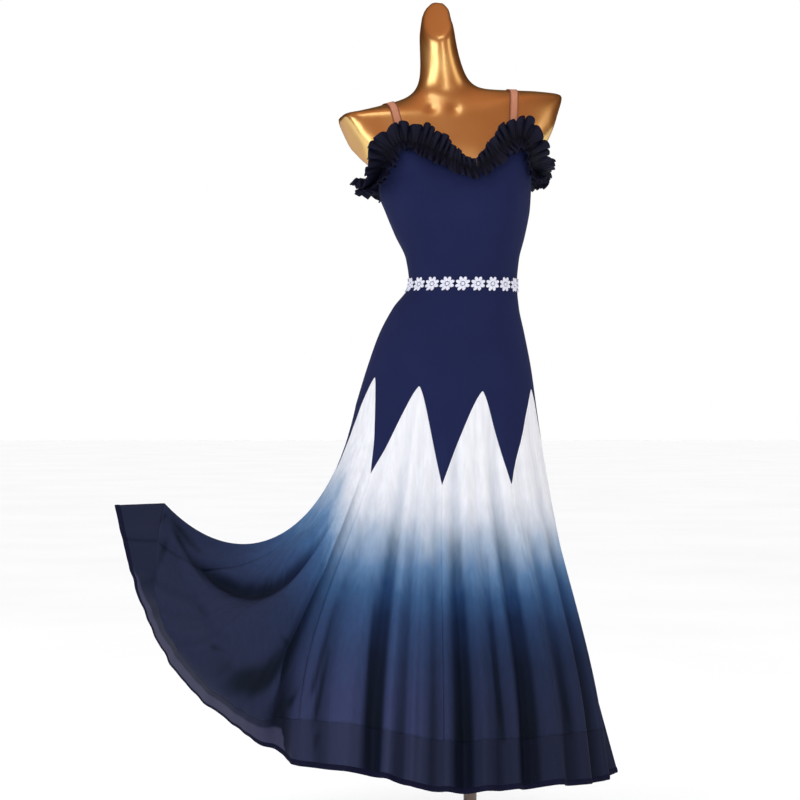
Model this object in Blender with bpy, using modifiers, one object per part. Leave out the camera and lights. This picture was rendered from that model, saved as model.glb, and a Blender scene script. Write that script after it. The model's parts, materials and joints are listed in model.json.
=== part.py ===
"""Ballroom dance dress worn by a smooth limbless dress form on a round stand.

Metres, Z up. The front faces -Y and the viewer's right is +X. The origin is the centre of the
underside of the stand's base. Ring angles run 0 at the viewer's right side, 90 at the back,
180 at the viewer's left side and 270 at the front.
"""
import math

import bmesh
import bpy
import numpy as np
from mathutils import Vector
from mathutils.bvhtree import BVHTree

COLLECTION = "ballroom_dance_dress"

# Cloth and seam sizes
BODICE_WALL = 0.0015
SKIRT_WALL = 0.0016
BAND_WALL = 0.0014
BOUND_EDGE = 0.0030
RUFFLE_WALL = 0.0010
STRAP_WALL = 0.0012
STRAP_WIDTH = 0.015
STRAP_STAND = 0.0030
STRAP_ROWS = 17
BELT_WALL = 0.0012
SEAM_GAP = 0.0003
SLANT_GAP = 0.0009
BAND_GAP = 0.0004

# Stand sizes
BASE_RADIUS = 0.19
BASE_HEIGHT = 0.012
POLE_RADIUS = 0.0125
FORM_BOTTOM = 0.775

# Rings of the worn body from hip to the top of the neck. Each ring passes through a left and a
# right point of the outline. front and back are depths from the ring's middle, turn is how far
# its front faces the viewer's right in degrees, cup is the fullness at the two bust points,
# square is the roundness power and gap is the distance in to the dress form.
BODY_COLUMNS = ("left_x", "left_z", "right_x", "right_z", "front", "back", "turn", "cup",
                "square", "gap")
BODY = np.array((
    (-0.2166, 0.8379, 0.1254, 0.8379, 0.112, 0.124, 3, 0.000, 2.10, 0.0125),
    (-0.1957, 0.9063, 0.1159, 0.9063, 0.105, 0.118, 3, 0.000, 2.15, 0.0062),
    (-0.1710, 0.9747, 0.1026, 0.9747, 0.098, 0.105, 4, 0.000, 2.15, 0.0045),
    (-0.1463, 1.0203, 0.0931, 1.0203, 0.088, 0.088, 6, 0.000, 2.15, 0.0045),
    (-0.1159, 1.0659, 0.0893, 1.0659, 0.079, 0.076, 8, 0.000, 2.15, 0.0052),
    (-0.1216, 1.1115, 0.0931, 1.1115, 0.084, 0.078, 9, 0.000, 2.15, 0.0045),
    (-0.1425, 1.1571, 0.1045, 1.1571, 0.090, 0.082, 10, 0.006, 2.15, 0.0038),
    (-0.1615, 1.2027, 0.1140, 1.2065, 0.093, 0.086, 10, 0.018, 2.15, 0.0038),
    (-0.1710, 1.2274, 0.1159, 1.2331, 0.093, 0.089, 11, 0.025, 2.15, 0.0046),
    (-0.1748, 1.2559, 0.1178, 1.2787, 0.090, 0.091, 12, 0.023, 2.20, 0.0078),
    (-0.2242, 1.3015, 0.1710, 1.3395, 0.082, 0.090, 14, 0.012, 2.30, 0.0078),
    (-0.2660, 1.3205, 0.1938, 1.3813, 0.072, 0.084, 14, 0.004, 2.40, 0.0042),
    (-0.2812, 1.3585, 0.2014, 1.4117, 0.060, 0.076, 14, 0.000, 2.40, 0.0010),
    (-0.2755, 1.3780, 0.1976, 1.4325, 0.048, 0.066, 14, 0.000, 2.40, 0.0000),
    (-0.2375, 1.3835, 0.1634, 1.4360, 0.040, 0.060, 14, 0.000, 2.40, 0.0000),
    (-0.2090, 1.3905, 0.1140, 1.4372, 0.037, 0.056, 14, 0.000, 2.30, 0.0000),
    (-0.1596, 1.4040, 0.0684, 1.4378, 0.036, 0.053, 14, 0.000, 2.20, 0.0000),
    (-0.1264, 1.4160, 0.0380, 1.4384, 0.037, 0.050, 14, 0.000, 2.10, 0.0000),
    (-0.1083, 1.4292, 0.0171, 1.4398, 0.038, 0.048, 14, 0.000, 2.00, 0.0000),
    (-0.0988, 1.4478, 0.0038, 1.4478, 0.040, 0.046, 14, 0.000, 2.00, 0.0000),
    (-0.0969, 1.4725, -0.0086, 1.4687, 0.042, 0.044, 14, 0.000, 2.00, 0.0000),
    (-0.0969, 1.5010, -0.0190, 1.4972, 0.043, 0.043, 14, 0.000, 2.00, 0.0000),
    (-0.0969, 1.5295, -0.0266, 1.5257, 0.043, 0.042, 14, 0.000, 2.00, 0.0000),
    (-0.0940, 1.5675, -0.0333, 1.5675, 0.043, 0.042, 14, 0.000, 2.00, 0.0000),
    (-0.0921, 1.6055, -0.0370, 1.6055, 0.042, 0.041, 14, 0.000, 2.00, 0.0000),
    (-0.0890, 1.6350, -0.0400, 1.6350, 0.040, 0.040, 14, 0.000, 2.00, 0.0000),
))
WAIST_ROW = 4.0
CUP_SPREAD = 34.0
CUP_WIDTH = 27.0
BODY_ANGLES = 48
FORM_ANGLES = 36

# Rings that close the form under the hips: height, size against the hip ring and how far the
# middle has moved over the pole.
FORM_CLOSING = ((0.822, 0.955, 0.1), (0.806, 0.88, 0.3), (0.792, 0.74, 0.55),
                (0.782, 0.52, 0.8), (FORM_BOTTOM, 0.26, 1.0))

# Flat cuts of the form, above CUT_FLOOR: a point on the cut and its outward direction.
ARM_CUT_LEFT = ((-0.2400, 0.0, 1.3400), (-0.830, -0.270, -0.487))
ARM_CUT_RIGHT = ((0.1745, 0.0, 1.3900), (0.890, 0.200, -0.410))
NECK_CUT = ((-0.0640, -0.0020, 1.5630), (-0.100, -0.720, 0.680))
CUT_FLOOR = 1.256

# Neckline seen from the front, from the left underarm over both cups to the right underarm.
NECKLINE_COLUMNS = ("x", "z")
NECKLINE = np.array((
    (-0.1760, 1.2559), (-0.1672, 1.2863), (-0.1558, 1.3110), (-0.1387, 1.3253),
    (-0.1140, 1.3243), (-0.0855, 1.3167), (-0.0570, 1.3063), (-0.0285, 1.2930),
    (0.0000, 1.2787), (0.0190, 1.2844), (0.0380, 1.3015), (0.0570, 1.3205),
    (0.0798, 1.3376), (0.0969, 1.3424), (0.1102, 1.3281), (0.1159, 1.3072), (0.1190, 1.2787),
))
BACK_DIP = 0.012

# Skirt gores: the seam angle at each side and the number of columns between the two seams.
# point_z is the height of the gore's point and seam_z the height of the yoke's point.
GORE_COLUMNS = ("seam_angle", "apex_angle", "columns", "point_z", "seam_z")
GORES = (
    (1.0, 24.0, 12, 0.872, 0.690),
    (47.0, 70.0, 12, 0.875, 0.692),
    (93.0, 116.5, 12, 0.878, 0.694),
    (140.0, 163.0, 16, 0.882, 0.700),
    (186.0, 208.6, 16, 0.888, 0.712),
    (230.2, 250.0, 12, 0.871, 0.709),
    (267.8, 289.5, 12, 0.862, 0.689),
    (305.0, 340.5, 12, 0.866, 0.689),
)
GORE_EDGE_POWER = 1.4

# Hem and band seam round the skirt: hem point, seam point and the pull toward the pinned tip.
HEM_COLUMNS = ("angle", "hem_x", "hem_y", "hem_z", "seam_x", "seam_y", "seam_z", "pull")
HEM = np.array((
    (180.0, -0.676, 0.000, 0.648, -0.580, 0.000, 0.652, 1.00),
    (187.0, -0.654, -0.034, 0.572, -0.588, -0.062, 0.570, 0.86),
    (193.0, -0.634, -0.046, 0.502, -0.588, -0.098, 0.504, 0.70),
    (199.0, -0.600, -0.064, 0.420, -0.570, -0.132, 0.436, 0.52),
    (205.0, -0.558, -0.090, 0.350, -0.535, -0.160, 0.382, 0.36),
    (211.0, -0.496, -0.118, 0.286, -0.480, -0.185, 0.322, 0.22),
    (217.0, -0.424, -0.148, 0.240, -0.412, -0.204, 0.284, 0.12),
    (223.0, -0.373, -0.185, 0.209, -0.364, -0.216, 0.268, 0.05),
    (229.0, -0.324, -0.228, 0.188, -0.322, -0.222, 0.270, 0.00),
    (236.0, -0.270, -0.262, 0.185, -0.268, -0.244, 0.268, 0.00),
    (244.0, -0.210, -0.284, 0.181, -0.206, -0.262, 0.264, 0.00),
    (252.0, -0.158, -0.296, 0.173, -0.154, -0.272, 0.256, 0.00),
    (260.0, -0.108, -0.302, 0.158, -0.105, -0.278, 0.246, 0.00),
    (268.0, -0.056, -0.306, 0.151, -0.055, -0.281, 0.239, 0.00),
    (276.0, -0.006, -0.305, 0.150, -0.006, -0.280, 0.238, 0.00),
    (284.0, 0.042, -0.297, 0.152, 0.041, -0.272, 0.240, 0.00),
    (292.0, 0.087, -0.284, 0.153, 0.085, -0.259, 0.240, 0.00),
    (302.0, 0.136, -0.256, 0.154, 0.132, -0.233, 0.240, 0.00),
    (312.0, 0.178, -0.220, 0.149, 0.172, -0.199, 0.240, 0.00),
    (324.0, 0.217, -0.170, 0.144, 0.208, -0.153, 0.238, 0.00),
    (338.0, 0.250, -0.103, 0.141, 0.238, -0.092, 0.234, 0.00),
    (360.0, 0.278, 0.005, 0.142, 0.253, 0.005, 0.228, 0.00),
    (382.0, 0.260, 0.125, 0.146, 0.238, 0.114, 0.231, 0.00),
    (404.0, 0.205, 0.228, 0.148, 0.190, 0.208, 0.234, 0.00),
    (426.0, 0.112, 0.302, 0.150, 0.103, 0.276, 0.237, 0.00),
    (448.0, -0.004, 0.334, 0.151, -0.006, 0.306, 0.239, 0.00),
    (470.0, -0.130, 0.326, 0.156, -0.128, 0.300, 0.245, 0.00),
    (486.0, -0.236, 0.288, 0.168, -0.231, 0.266, 0.256, 0.00),
    (497.0, -0.320, 0.240, 0.186, -0.311, 0.232, 0.268, 0.03),
    (508.0, -0.416, 0.184, 0.222, -0.398, 0.206, 0.286, 0.12),
    (516.0, -0.500, 0.138, 0.282, -0.480, 0.180, 0.326, 0.24),
    (524.0, -0.575, 0.096, 0.380, -0.550, 0.144, 0.410, 0.46),
    (532.0, -0.634, 0.052, 0.502, -0.588, 0.092, 0.506, 0.72),
    (540.0, -0.676, 0.000, 0.648, -0.580, 0.000, 0.652, 1.00),
))
DROP = 0.24
LEAVE_SHAPE = (0.020, 0.0, -0.020)
PULL_SHAPE = (0.150, 0.0, -0.160)

# Upright folds: ring angle and how far the hem stands out or in there, in millimetres.
FOLD_COLUMNS = ("angle", "out_mm")
FOLDS = np.array((
    (180, 0), (214, 0), (220, 4), (225, -12), (231, 10), (235, -6), (241, 15), (248, -20),
    (252, 6), (255.5, -8), (259.5, 12), (265, -8), (269, 7), (274, -22), (280, 15), (285, -7),
    (289, 9), (295, -22), (304, 17), (312, -8), (320, 10), (329, -13), (337, 7), (346, -12),
    (355, 2), (364, -9), (374, 9), (384, -15), (394, 13), (404, -17), (413, 15), (422, -15),
    (432, 16), (441, -16), (451, 14), (460, -16), (470, 13), (479, -14), (488, 10), (497, -10),
    (506, 4), (514, 0), (540, 0),
), dtype=float)
FOLD_POWER = 1.15

# Hanging folds of the pinned side: depth of the hang in metres under the line from hip to pin
# and how far the cloth stands out or in there, in millimetres.
SWAG_COLUMNS = ("hang", "out_mm")
SWAGS = np.array((
    (0.000, 0), (0.075, 2), (0.105, 9), (0.146, -16), (0.195, 8), (0.225, 10), (0.262, 4),
    (0.310, -16), (0.365, 6), (0.420, 0), (0.700, 0),
))
PIN_X = -0.578
PIN_Z = 0.628
HIP_X = -0.240
HIP_Z = 0.655

# Ruffle of each side: share of the way from the centre front to the centre back, free widths
# above and below the stitching, and how far each stands off in degrees.
RUFFLE_COLUMNS = ("share", "upper", "lower", "upper_flare", "lower_flare", "wave")
RUFFLE = np.array((
    (0.00, 0.017, 0.020, 16, 16, 0.5),
    (0.06, 0.022, 0.024, 15, 15, 0.6),
    (0.14, 0.031, 0.030, 14, 14, 0.9),
    (0.25, 0.038, 0.023, 18, 15, 0.6),
    (0.37, 0.040, 0.018, 32, 22, 0.5),
    (0.50, 0.038, 0.030, 50, 54, 1.0),
    (0.63, 0.048, 0.038, 58, 60, 1.0),
    (0.75, 0.038, 0.036, 44, 42, 1.0),
    (1.00, 0.034, 0.032, 18, 18, 0.9),
))
V_ANGLE = 276.0
RUFFLE_PITCH = 0.0118
RUFFLE_STAND = 0.0042
RUFFLE_SWING = 0.0047
STITCH_SWING = 0.0011

# Rows down the skirt: samples from waist to hip, hip to band and down the band, and where the
# rows of a gore, a yoke and a band lie between its upper and lower edge.
UPPER_SAMPLES = 17
LOWER_SAMPLES = 33
BAND_SAMPLES = 5
GORE_ROWS = np.linspace(0.0, 1.0, 9)
YOKE_ROWS = (0.0, 0.05, 0.17, 0.33, 0.52, 0.75, 1.0)
BAND_ROWS = (0.0, 0.88, 1.0)

# Waist trim: flowers round the waist and the half height of one flower at its eight columns.
BELT_FLOWERS = 20
FLOWER_HALF = (0.0026, 0.0100, 0.0122, 0.0098, 0.0142, 0.0098, 0.0122, 0.0100)
BELT_STAND = 0.0014


def clear_scene():
    """Remove whatever the start-up file holds."""
    for item in list(bpy.data.objects):
        bpy.data.objects.remove(item, do_unlink=True)


def curve(keys, values, at):
    """Smooth values through every key without overshoot."""
    keys = np.asarray(keys, dtype=float)
    values = np.asarray(values, dtype=float)
    at = np.clip(np.asarray(at, dtype=float), keys[0], keys[-1])
    gap = np.diff(keys)
    rise = np.diff(values) / gap
    slope = np.zeros(len(keys))
    same = rise[:-1] * rise[1:] > 0
    total = np.where(same, rise[:-1] + rise[1:], 1.0)
    slope[1:-1] = np.where(same, 2.0 * rise[:-1] * rise[1:] / total, 0.0)
    slope[0] = rise[0]
    slope[-1] = rise[-1]
    i = np.clip(np.searchsorted(keys, at) - 1, 0, len(keys) - 2)
    t = (at - keys[i]) / gap[i]
    a = (1 + 2 * t) * (1 - t) ** 2 * values[i] + t * (1 - t) ** 2 * gap[i] * slope[i]
    b = t * t * (3 - 2 * t) * values[i + 1] + t * t * (t - 1) * gap[i] * slope[i + 1]
    return a + b


def body_value(name, row):
    """One column of the body table at a row position."""
    column = BODY_COLUMNS.index(name)
    return float(curve(np.arange(len(BODY)), BODY[:, column], row))


def ring_shape(angles, width, row):
    """Ring in its own plane after it is turned: sideways and depth."""
    a = np.radians(angles)
    c = np.cos(a)
    s = np.sin(a)
    power = 2.0 / body_value("square", row)
    side = np.sign(c) * np.abs(c) ** power * width
    reach = np.where(s < 0, body_value("front", row), body_value("back", row))
    depth = np.sign(s) * np.abs(s) ** power * reach
    wrapped = np.mod(angles, 360.0)
    near = (wrapped - 270 - CUP_SPREAD) / CUP_WIDTH
    far = (wrapped - 270 + CUP_SPREAD) / CUP_WIDTH
    depth = depth - body_value("cup", row) * (np.exp(-near ** 2) + np.exp(-far ** 2))
    turn = math.radians(body_value("turn", row))
    x = side * math.cos(turn) - depth * math.sin(turn)
    y = side * math.sin(turn) + depth * math.cos(turn)
    return x, y


def body_ring(angles, row):
    """Points of the worn surface at the given angles of one row position."""
    angles = np.asarray(angles, dtype=float)
    left_x = body_value("left_x", row)
    left_z = body_value("left_z", row)
    right_x = body_value("right_x", row)
    right_z = body_value("right_z", row)
    width = math.hypot(right_x - left_x, right_z - left_z) / 2
    tilt = math.atan2(right_z - left_z, right_x - left_x)
    all_x, _ = ring_shape(np.arange(0.0, 360.0, 2.0), width, row)
    middle = (all_x.max() + all_x.min()) / 2
    grow = 2 * width / (all_x.max() - all_x.min())
    x, y = ring_shape(angles, width, row)
    along = (x - middle) * grow
    points = np.empty((len(angles), 3))
    points[:, 0] = (left_x + right_x) / 2 + along * math.cos(tilt)
    points[:, 1] = y
    points[:, 2] = (left_z + right_z) / 2 + along * math.sin(tilt)
    return points


def unit(vectors):
    """Vectors of length one."""
    size = np.linalg.norm(vectors, axis=-1, keepdims=True)
    return vectors / np.maximum(size, 1e-12)


def slopes(grid, axis, closed=False):
    """Central differences along one axis of a grid of points."""
    if closed:
        return np.roll(grid, -1, axis) - np.roll(grid, 1, axis)
    return np.gradient(grid, axis=axis)


def normals(grid, closed=False):
    """Outward directions of a grid whose rows go down and whose columns go round by angle."""
    down = slopes(grid, 0)
    along = slopes(grid, 1, closed)
    return unit(np.cross(down, along))


def body_grid(angles, rows):
    """Worn surface at one list of angles and one list of row positions, top row first."""
    return np.array([body_ring(angles, row) for row in rows])


def body_patch(angles, row_table):
    """Worn surface where every column has its own row positions, and its directions."""
    count = len(row_table)
    points = np.empty((count, len(angles), 3))
    outward = np.empty_like(points)
    for j, angle in enumerate(angles):
        near = np.array([angle - 1.0, angle, angle + 1.0])
        for i in range(count):
            row = row_table[i][j]
            here = body_ring(near, row)
            above = body_ring(near[1:2], row + 0.06)[0]
            below = body_ring(near[1:2], row - 0.06)[0]
            points[i, j] = here[1]
            outward[i, j] = np.cross(below - above, here[2] - here[0])
    return points, unit(outward)


def diagonal(a, b, c, d):
    """Two triangles of a four-sided cell cut along its shorter diagonal."""
    first = np.linalg.norm(a[1] - c[1])
    second = np.linalg.norm(b[1] - d[1])
    if first <= second:
        return ((a[0], b[0], c[0]), (a[0], c[0], d[0]))
    return ((a[0], b[0], d[0]), (b[0], c[0], d[0]))


def wall_solid(outer, inner, closed=False):
    """Vertices and triangles of a closed wall between two matching grids of points."""
    rows, columns = outer.shape[:2]
    size = rows * columns
    points = np.concatenate((outer.reshape(-1, 3), inner.reshape(-1, 3)))
    middle = (outer + inner) / 2
    faces = []
    last = columns if closed else columns - 1
    for i in range(rows - 1):
        for j in range(last):
            k = (j + 1) % columns
            cell = ((i, j), (i + 1, j), (i + 1, k), (i, k))
            corners = [(r * columns + c, middle[r, c]) for r, c in cell]
            for tri in diagonal(*corners):
                faces.append(tri)
                faces.append((tri[0] + size, tri[2] + size, tri[1] + size))
    for j in range(last):
        k = (j + 1) % columns
        faces.extend(strip(k, j, size))
        base = (rows - 1) * columns
        faces.extend(strip(base + j, base + k, size))
    if not closed:
        for i in range(rows - 1):
            faces.extend(strip(i * columns, (i + 1) * columns, size))
            right = columns - 1
            faces.extend(strip((i + 1) * columns + right, i * columns + right, size))
    return points, faces


def strip(a, b, size):
    """Edge strip between the two walls from outer point a to outer point b."""
    return ((b, a, a + size), (b, a + size, b + size))


def principled(name, color, rough, metal=0.0):
    """Plain material with a colour, a roughness and a metal share."""
    material = bpy.data.materials.new(name)
    material.use_nodes = True
    shader = material.node_tree.nodes["Principled BSDF"]
    shader.inputs["Base Color"].default_value = (*color, 1.0)
    shader.inputs["Roughness"].default_value = rough
    shader.inputs["Metallic"].default_value = metal
    material.diffuse_color = (*color, 1.0)
    return material


def navy_stretch(name):
    """Matt navy stretch cloth."""
    return principled(name, (0.017, 0.022, 0.078), 0.75)


def gore_cloth(name):
    """Light skirt cloth, given its pale upper colour."""
    return principled(name, (0.30, 0.38, 0.55), 0.7)


def sheer_band(name):
    """Dark stiff sheer band."""
    return principled(name, (0.022, 0.024, 0.062), 0.6)


def organza(name):
    """Near-black navy ruffle cloth."""
    return principled(name, (0.007, 0.009, 0.022), 0.6)


def elastic(name):
    """Nude elastic."""
    return principled(name, (0.62, 0.25, 0.15), 0.6)


def lace(name):
    """White lace."""
    return principled(name, (0.86, 0.86, 0.90), 0.7)


def gold(name):
    """Glossy gold finish of the form."""
    return principled(name, (0.58, 0.28, 0.05), 0.18, 1.0)


def steel(name):
    """Brushed steel of the stand."""
    return principled(name, (0.38, 0.36, 0.34), 0.35, 1.0)


def add_object(name, points, faces, material, collection):
    """One closed solid as a named object."""
    mesh = bpy.data.meshes.new(name)
    mesh.from_pydata([tuple(p) for p in points], [], [tuple(f) for f in faces])
    mesh.update()
    work = bmesh.new()
    work.from_mesh(mesh)
    bmesh.ops.recalc_face_normals(work, faces=work.faces)
    if work.calc_volume(signed=True) < 0:
        bmesh.ops.reverse_faces(work, faces=work.faces)
    work.to_mesh(mesh)
    work.free()
    item = bpy.data.objects.new(name, mesh)
    item.data.materials.append(material)
    collection.objects.link(item)
    return item


def panel(name, grid, outward, wall, material, collection, sides=SEAM_GAP):
    """Cloth panel with its outer face on the grid and its side edges set in from the seam."""
    grid = grid.copy()
    for edge, near in ((0, 1), (-1, -2)):
        down = unit(np.gradient(grid[:, edge], axis=0))
        inward = grid[:, near] - grid[:, edge]
        inward = unit(inward - down * (inward * down).sum(1, keepdims=True))
        grid[:, edge] += inward * sides
    wall = np.broadcast_to(np.asarray(wall, dtype=float).reshape(-1, 1, 1),
                           (grid.shape[0], 1, 1))
    points, faces = wall_solid(grid, grid - outward * wall)
    return add_object(name, points, faces, material, collection)


def form_rows():
    """Row positions of the form, top first."""
    neck = list(np.arange(25.0, 17.9, -1.0))
    shoulder = list(np.linspace(17.3, 9.4, 13))
    lower = list(np.linspace(8.8, 0.6, 14))
    return neck + shoulder + lower + [0.0]


def form_torso(collection):
    """Smooth limbless torso with a long neck, cut flat at both arms and at the neck."""
    angles = np.arange(FORM_ANGLES) * 360.0 / FORM_ANGLES
    rows = form_rows()
    grid = body_grid(angles, rows)
    outward = normals(grid, closed=True)
    gap = np.array([body_value("gap", row) for row in rows])
    grid = grid - outward * gap[:, None, None]
    hip = grid[-1]
    middle = (hip.max(0) + hip.min(0)) / 2
    rings = [ring for ring in grid]
    for height, size, over in FORM_CLOSING:
        ring = (hip - middle) * size + middle * (1 - over)
        ring[:, 2] = height
        rings.append(ring)
    points = np.concatenate(rings)
    count = len(angles)
    faces = []
    for i in range(len(rings) - 1):
        for j in range(count):
            k = (j + 1) % count
            faces.append((i * count + j, (i + 1) * count + j, (i + 1) * count + k, i * count + k))
    faces.append(tuple(range(count - 1, -1, -1)))
    start = (len(rings) - 1) * count
    faces.append(tuple(range(start, start + count)))
    item = add_object("form_torso", points, faces, gold("form_gold"), collection)
    work = bmesh.new()
    work.from_mesh(item.data)
    for place, direction in (ARM_CUT_LEFT, ARM_CUT_RIGHT, NECK_CUT):
        high = [v for v in work.verts if v.co.z > CUT_FLOOR]
        known = set(high)
        sides = [e for e in work.edges if known.issuperset(e.verts)]
        cells = [f for f in work.faces if known.issuperset(f.verts)]
        everything = high + sides + cells
        cut = bmesh.ops.bisect_plane(work, geom=everything, dist=1e-6, plane_co=place,
                                     plane_no=Vector(direction).normalized(), clear_outer=True)
        rim = [e for e in cut["geom_cut"] if isinstance(e, bmesh.types.BMEdge)]
        bmesh.ops.holes_fill(work, edges=rim)
    bmesh.ops.remove_doubles(work, verts=work.verts, dist=2e-5)
    bmesh.ops.triangulate(work, faces=work.faces, quad_method="SHORT_EDGE")
    bmesh.ops.recalc_face_normals(work, faces=work.faces)
    work.to_mesh(item.data)
    work.free()
    return item


def stand(collection):
    """Round base plate and the pole that carries the form."""
    bpy.ops.mesh.primitive_cylinder_add(vertices=24, radius=POLE_RADIUS,
                                        depth=FORM_BOTTOM - BASE_HEIGHT - 0.0006)
    pole = bpy.context.object
    pole.location = (0.0, 0.0, (FORM_BOTTOM + BASE_HEIGHT) / 2)
    pole.name = "form_pole"
    pole.data.materials.append(steel("pole_steel"))
    bpy.ops.mesh.primitive_cylinder_add(vertices=48, radius=BASE_RADIUS, depth=BASE_HEIGHT)
    base = bpy.context.object
    base.location = (0.0, 0.0, BASE_HEIGHT / 2)
    base.name = "form_base"
    base.data.materials.append(steel("base_steel"))
    round_over = base.modifiers.new("rim", "BEVEL")
    round_over.width = 0.003
    round_over.segments = 1
    round_over.limit_method = "ANGLE"
    for item in (pole, base):
        for home in list(item.users_collection):
            home.objects.unlink(item)
        collection.objects.link(item)


def neckline_row(angle):
    """Row position where a column meets the neckline, front or back."""
    wrapped = angle % 360.0
    low = 7.0
    high = 12.5
    for _ in range(26):
        row = (low + high) / 2
        here = body_ring([wrapped], row)[0]
        if wrapped >= 180.0 or wrapped == 0.0:
            goal = np.interp(here[0], NECKLINE[:, 0], NECKLINE[:, 1])
        else:
            across = (here[0] - NECKLINE[0, 0]) / (NECKLINE[-1, 0] - NECKLINE[0, 0])
            across = min(max(across, 0.0), 1.0)
            goal = NECKLINE[0, 1] + across * (NECKLINE[-1, 1] - NECKLINE[0, 1])
            goal = goal - BACK_DIP * math.sin(math.pi * across)
        if here[2] < goal:
            low = row
        else:
            high = row
    return (low + high) / 2


def bodice(collection):
    """Front and back of the bodice, from waist to neckline, joined at the side seams."""
    step = 360.0 / BODY_ANGLES
    spans = (("bodice_front", 180.0, 360.0), ("bodice_back", 0.0, 180.0))
    for name, start, end in spans:
        angles = np.arange(start, end + 0.1, step)
        tops = np.array([neckline_row(a) for a in angles])
        shares = np.linspace(0.0, 1.0, 9)
        table = []
        for share in shares:
            table.append(tops * (1 - share) + (WAIST_ROW + 0.004) * share)
        points, outward = body_patch(angles, table)
        panel(name, points, outward, BODICE_WALL, navy_stretch(name + "_cloth"), collection)


def bezier(p0, p1, p2, p3, t):
    """Point of a cubic curve."""
    s = 1 - t
    return s ** 3 * p0 + 3 * s * s * t * p1 + 3 * s * t * t * p2 + t ** 3 * p3


def hem_value(name, angles):
    """One column of the hem table at each ring angle."""
    wrapped = np.mod(np.asarray(angles, dtype=float) - 180.0, 360.0) + 180.0
    return curve(HEM[:, 0], HEM[:, HEM_COLUMNS.index(name)], wrapped)


def skirt_angles():
    """Column angles round the skirt, and the first column of each gore."""
    angles = []
    starts = []
    for i, (seam, apex, count, _, _) in enumerate(GORES):
        after = GORES[(i + 1) % len(GORES)][0]
        if after <= seam:
            after += 360.0
        half = count // 2
        starts.append(len(angles))
        angles.extend(np.linspace(seam, apex, half, endpoint=False))
        angles.extend(np.linspace(apex, after, half, endpoint=False))
    return np.array(angles), starts


def skirt_surface(angles):
    """Worn surface of the whole skirt, waist to hem, with its folds, and its directions."""
    upper = body_grid(angles, np.linspace(WAIST_ROW, 0.0, UPPER_SAMPLES))
    hip = upper[-1]
    tangent = unit(hip - upper[-3])
    hem = np.stack([hem_value(n, angles) for n in ("hem_x", "hem_y", "hem_z")], axis=1)
    seam = np.stack([hem_value(n, angles) for n in ("seam_x", "seam_y", "seam_z")], axis=1)
    pull = hem_value("pull", angles)[:, None]
    reach = np.linalg.norm(seam - hip, axis=1, keepdims=True)
    leave = hip + tangent * DROP + np.array(LEAVE_SHAPE) * pull
    plain = seam - unit(hem - seam) * reach * 0.33
    arrive = plain * (1 - pull) + (seam + np.array(PULL_SHAPE)) * pull
    lower = [bezier(hip, leave, arrive, seam, t)
             for t in np.linspace(0.0, 1.0, LOWER_SAMPLES)[1:]]
    band = [seam + (hem - seam) * t for t in np.linspace(0.0, 1.0, BAND_SAMPLES)[1:]]
    grid = np.concatenate((upper, np.array(lower), np.array(band)))
    outward = normals(grid, closed=True)
    wrapped = np.mod(angles - 180.0, 360.0) + 180.0
    fold = curve(FOLDS[:, 0], FOLDS[:, 1], wrapped) / 1000.0
    total = LOWER_SAMPLES + BAND_SAMPLES - 2
    grow = np.clip((np.arange(len(grid)) - UPPER_SAMPLES + 1) / total, 0.0, 1.0)
    grow = grow ** FOLD_POWER
    grid = grid + outward * (grow[:, None] * fold[None, :])[:, :, None]
    grid = grid + outward * swag(grid, wrapped)[:, :, None]
    return grid, normals(grid, closed=True)


def swag(grid, angles):
    """How far the pinned side's hanging folds stand out at each point."""
    across = (grid[:, :, 0] - PIN_X) / (HIP_X - PIN_X)
    inside = np.clip(across, 0.02, 0.98)
    bow = 4 * inside * (1 - inside)
    line = PIN_Z + (HIP_Z - PIN_Z) * inside
    hang = (line - grid[:, :, 2]) / bow
    out = curve(SWAGS[:, 0], SWAGS[:, 1], hang) / 1000.0
    fade = np.clip(bow * 1.2, 0.0, 1.0) ** 1.6
    side = np.clip((236.0 - angles) / 14.0, 0.0, 1.0) + np.clip((angles - 484.0) / 14.0, 0.0, 1.0)
    ridge = np.minimum(np.abs(angles - 180.0), np.abs(angles - 540.0))
    side = side * np.clip(ridge / 8.0, 0.0, 1.0)
    fade = np.where((across > 0.0) & (across < 1.0), fade, 0.0)
    return out * fade * side[None, :]


def zigzag_height(angles):
    """Height of the yoke's lower edge at each ring angle, cut straight between yoke columns."""
    heights = np.empty(len(angles))
    start = 0
    for i, (seam, apex, count, point_z, seam_z) in enumerate(GORES):
        after = GORES[(i + 1) % len(GORES)]
        half = count // 2
        for j in range(count):
            if j <= half:
                share = 1 - j / half
                low = seam_z
            else:
                share = (j - half) / half
                low = after[4]
            heights[start + j] = point_z - (point_z - low) * share ** GORE_EDGE_POWER
        start += count
    return heights


def pick(grid, column, index):
    """Point of one column at a fractional sample position."""
    base = int(min(max(math.floor(index), 0), len(grid) - 2))
    part = index - base
    return grid[base, column] * (1 - part) + grid[base + 1, column] * part


def sample_rows(grid, outward, columns, starts, ends, shares):
    """Grid between two sample positions of each column."""
    points = np.empty((len(shares), len(columns), 3))
    directions = np.empty_like(points)
    for n, column in enumerate(columns):
        for i, share in enumerate(shares):
            index = starts[n] * (1 - share) + ends[n] * share
            points[i, n] = pick(grid, column, index)
            directions[i, n] = pick(outward, column, index)
    return points, unit(directions)


def edge_index(grid, column, height):
    """Sample position where a column first falls to a height."""
    z = grid[:, column, 2]
    below = int(np.argmax(z < height))
    above = below - 1
    return above + (z[above] - height) / (z[above] - z[below])


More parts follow.
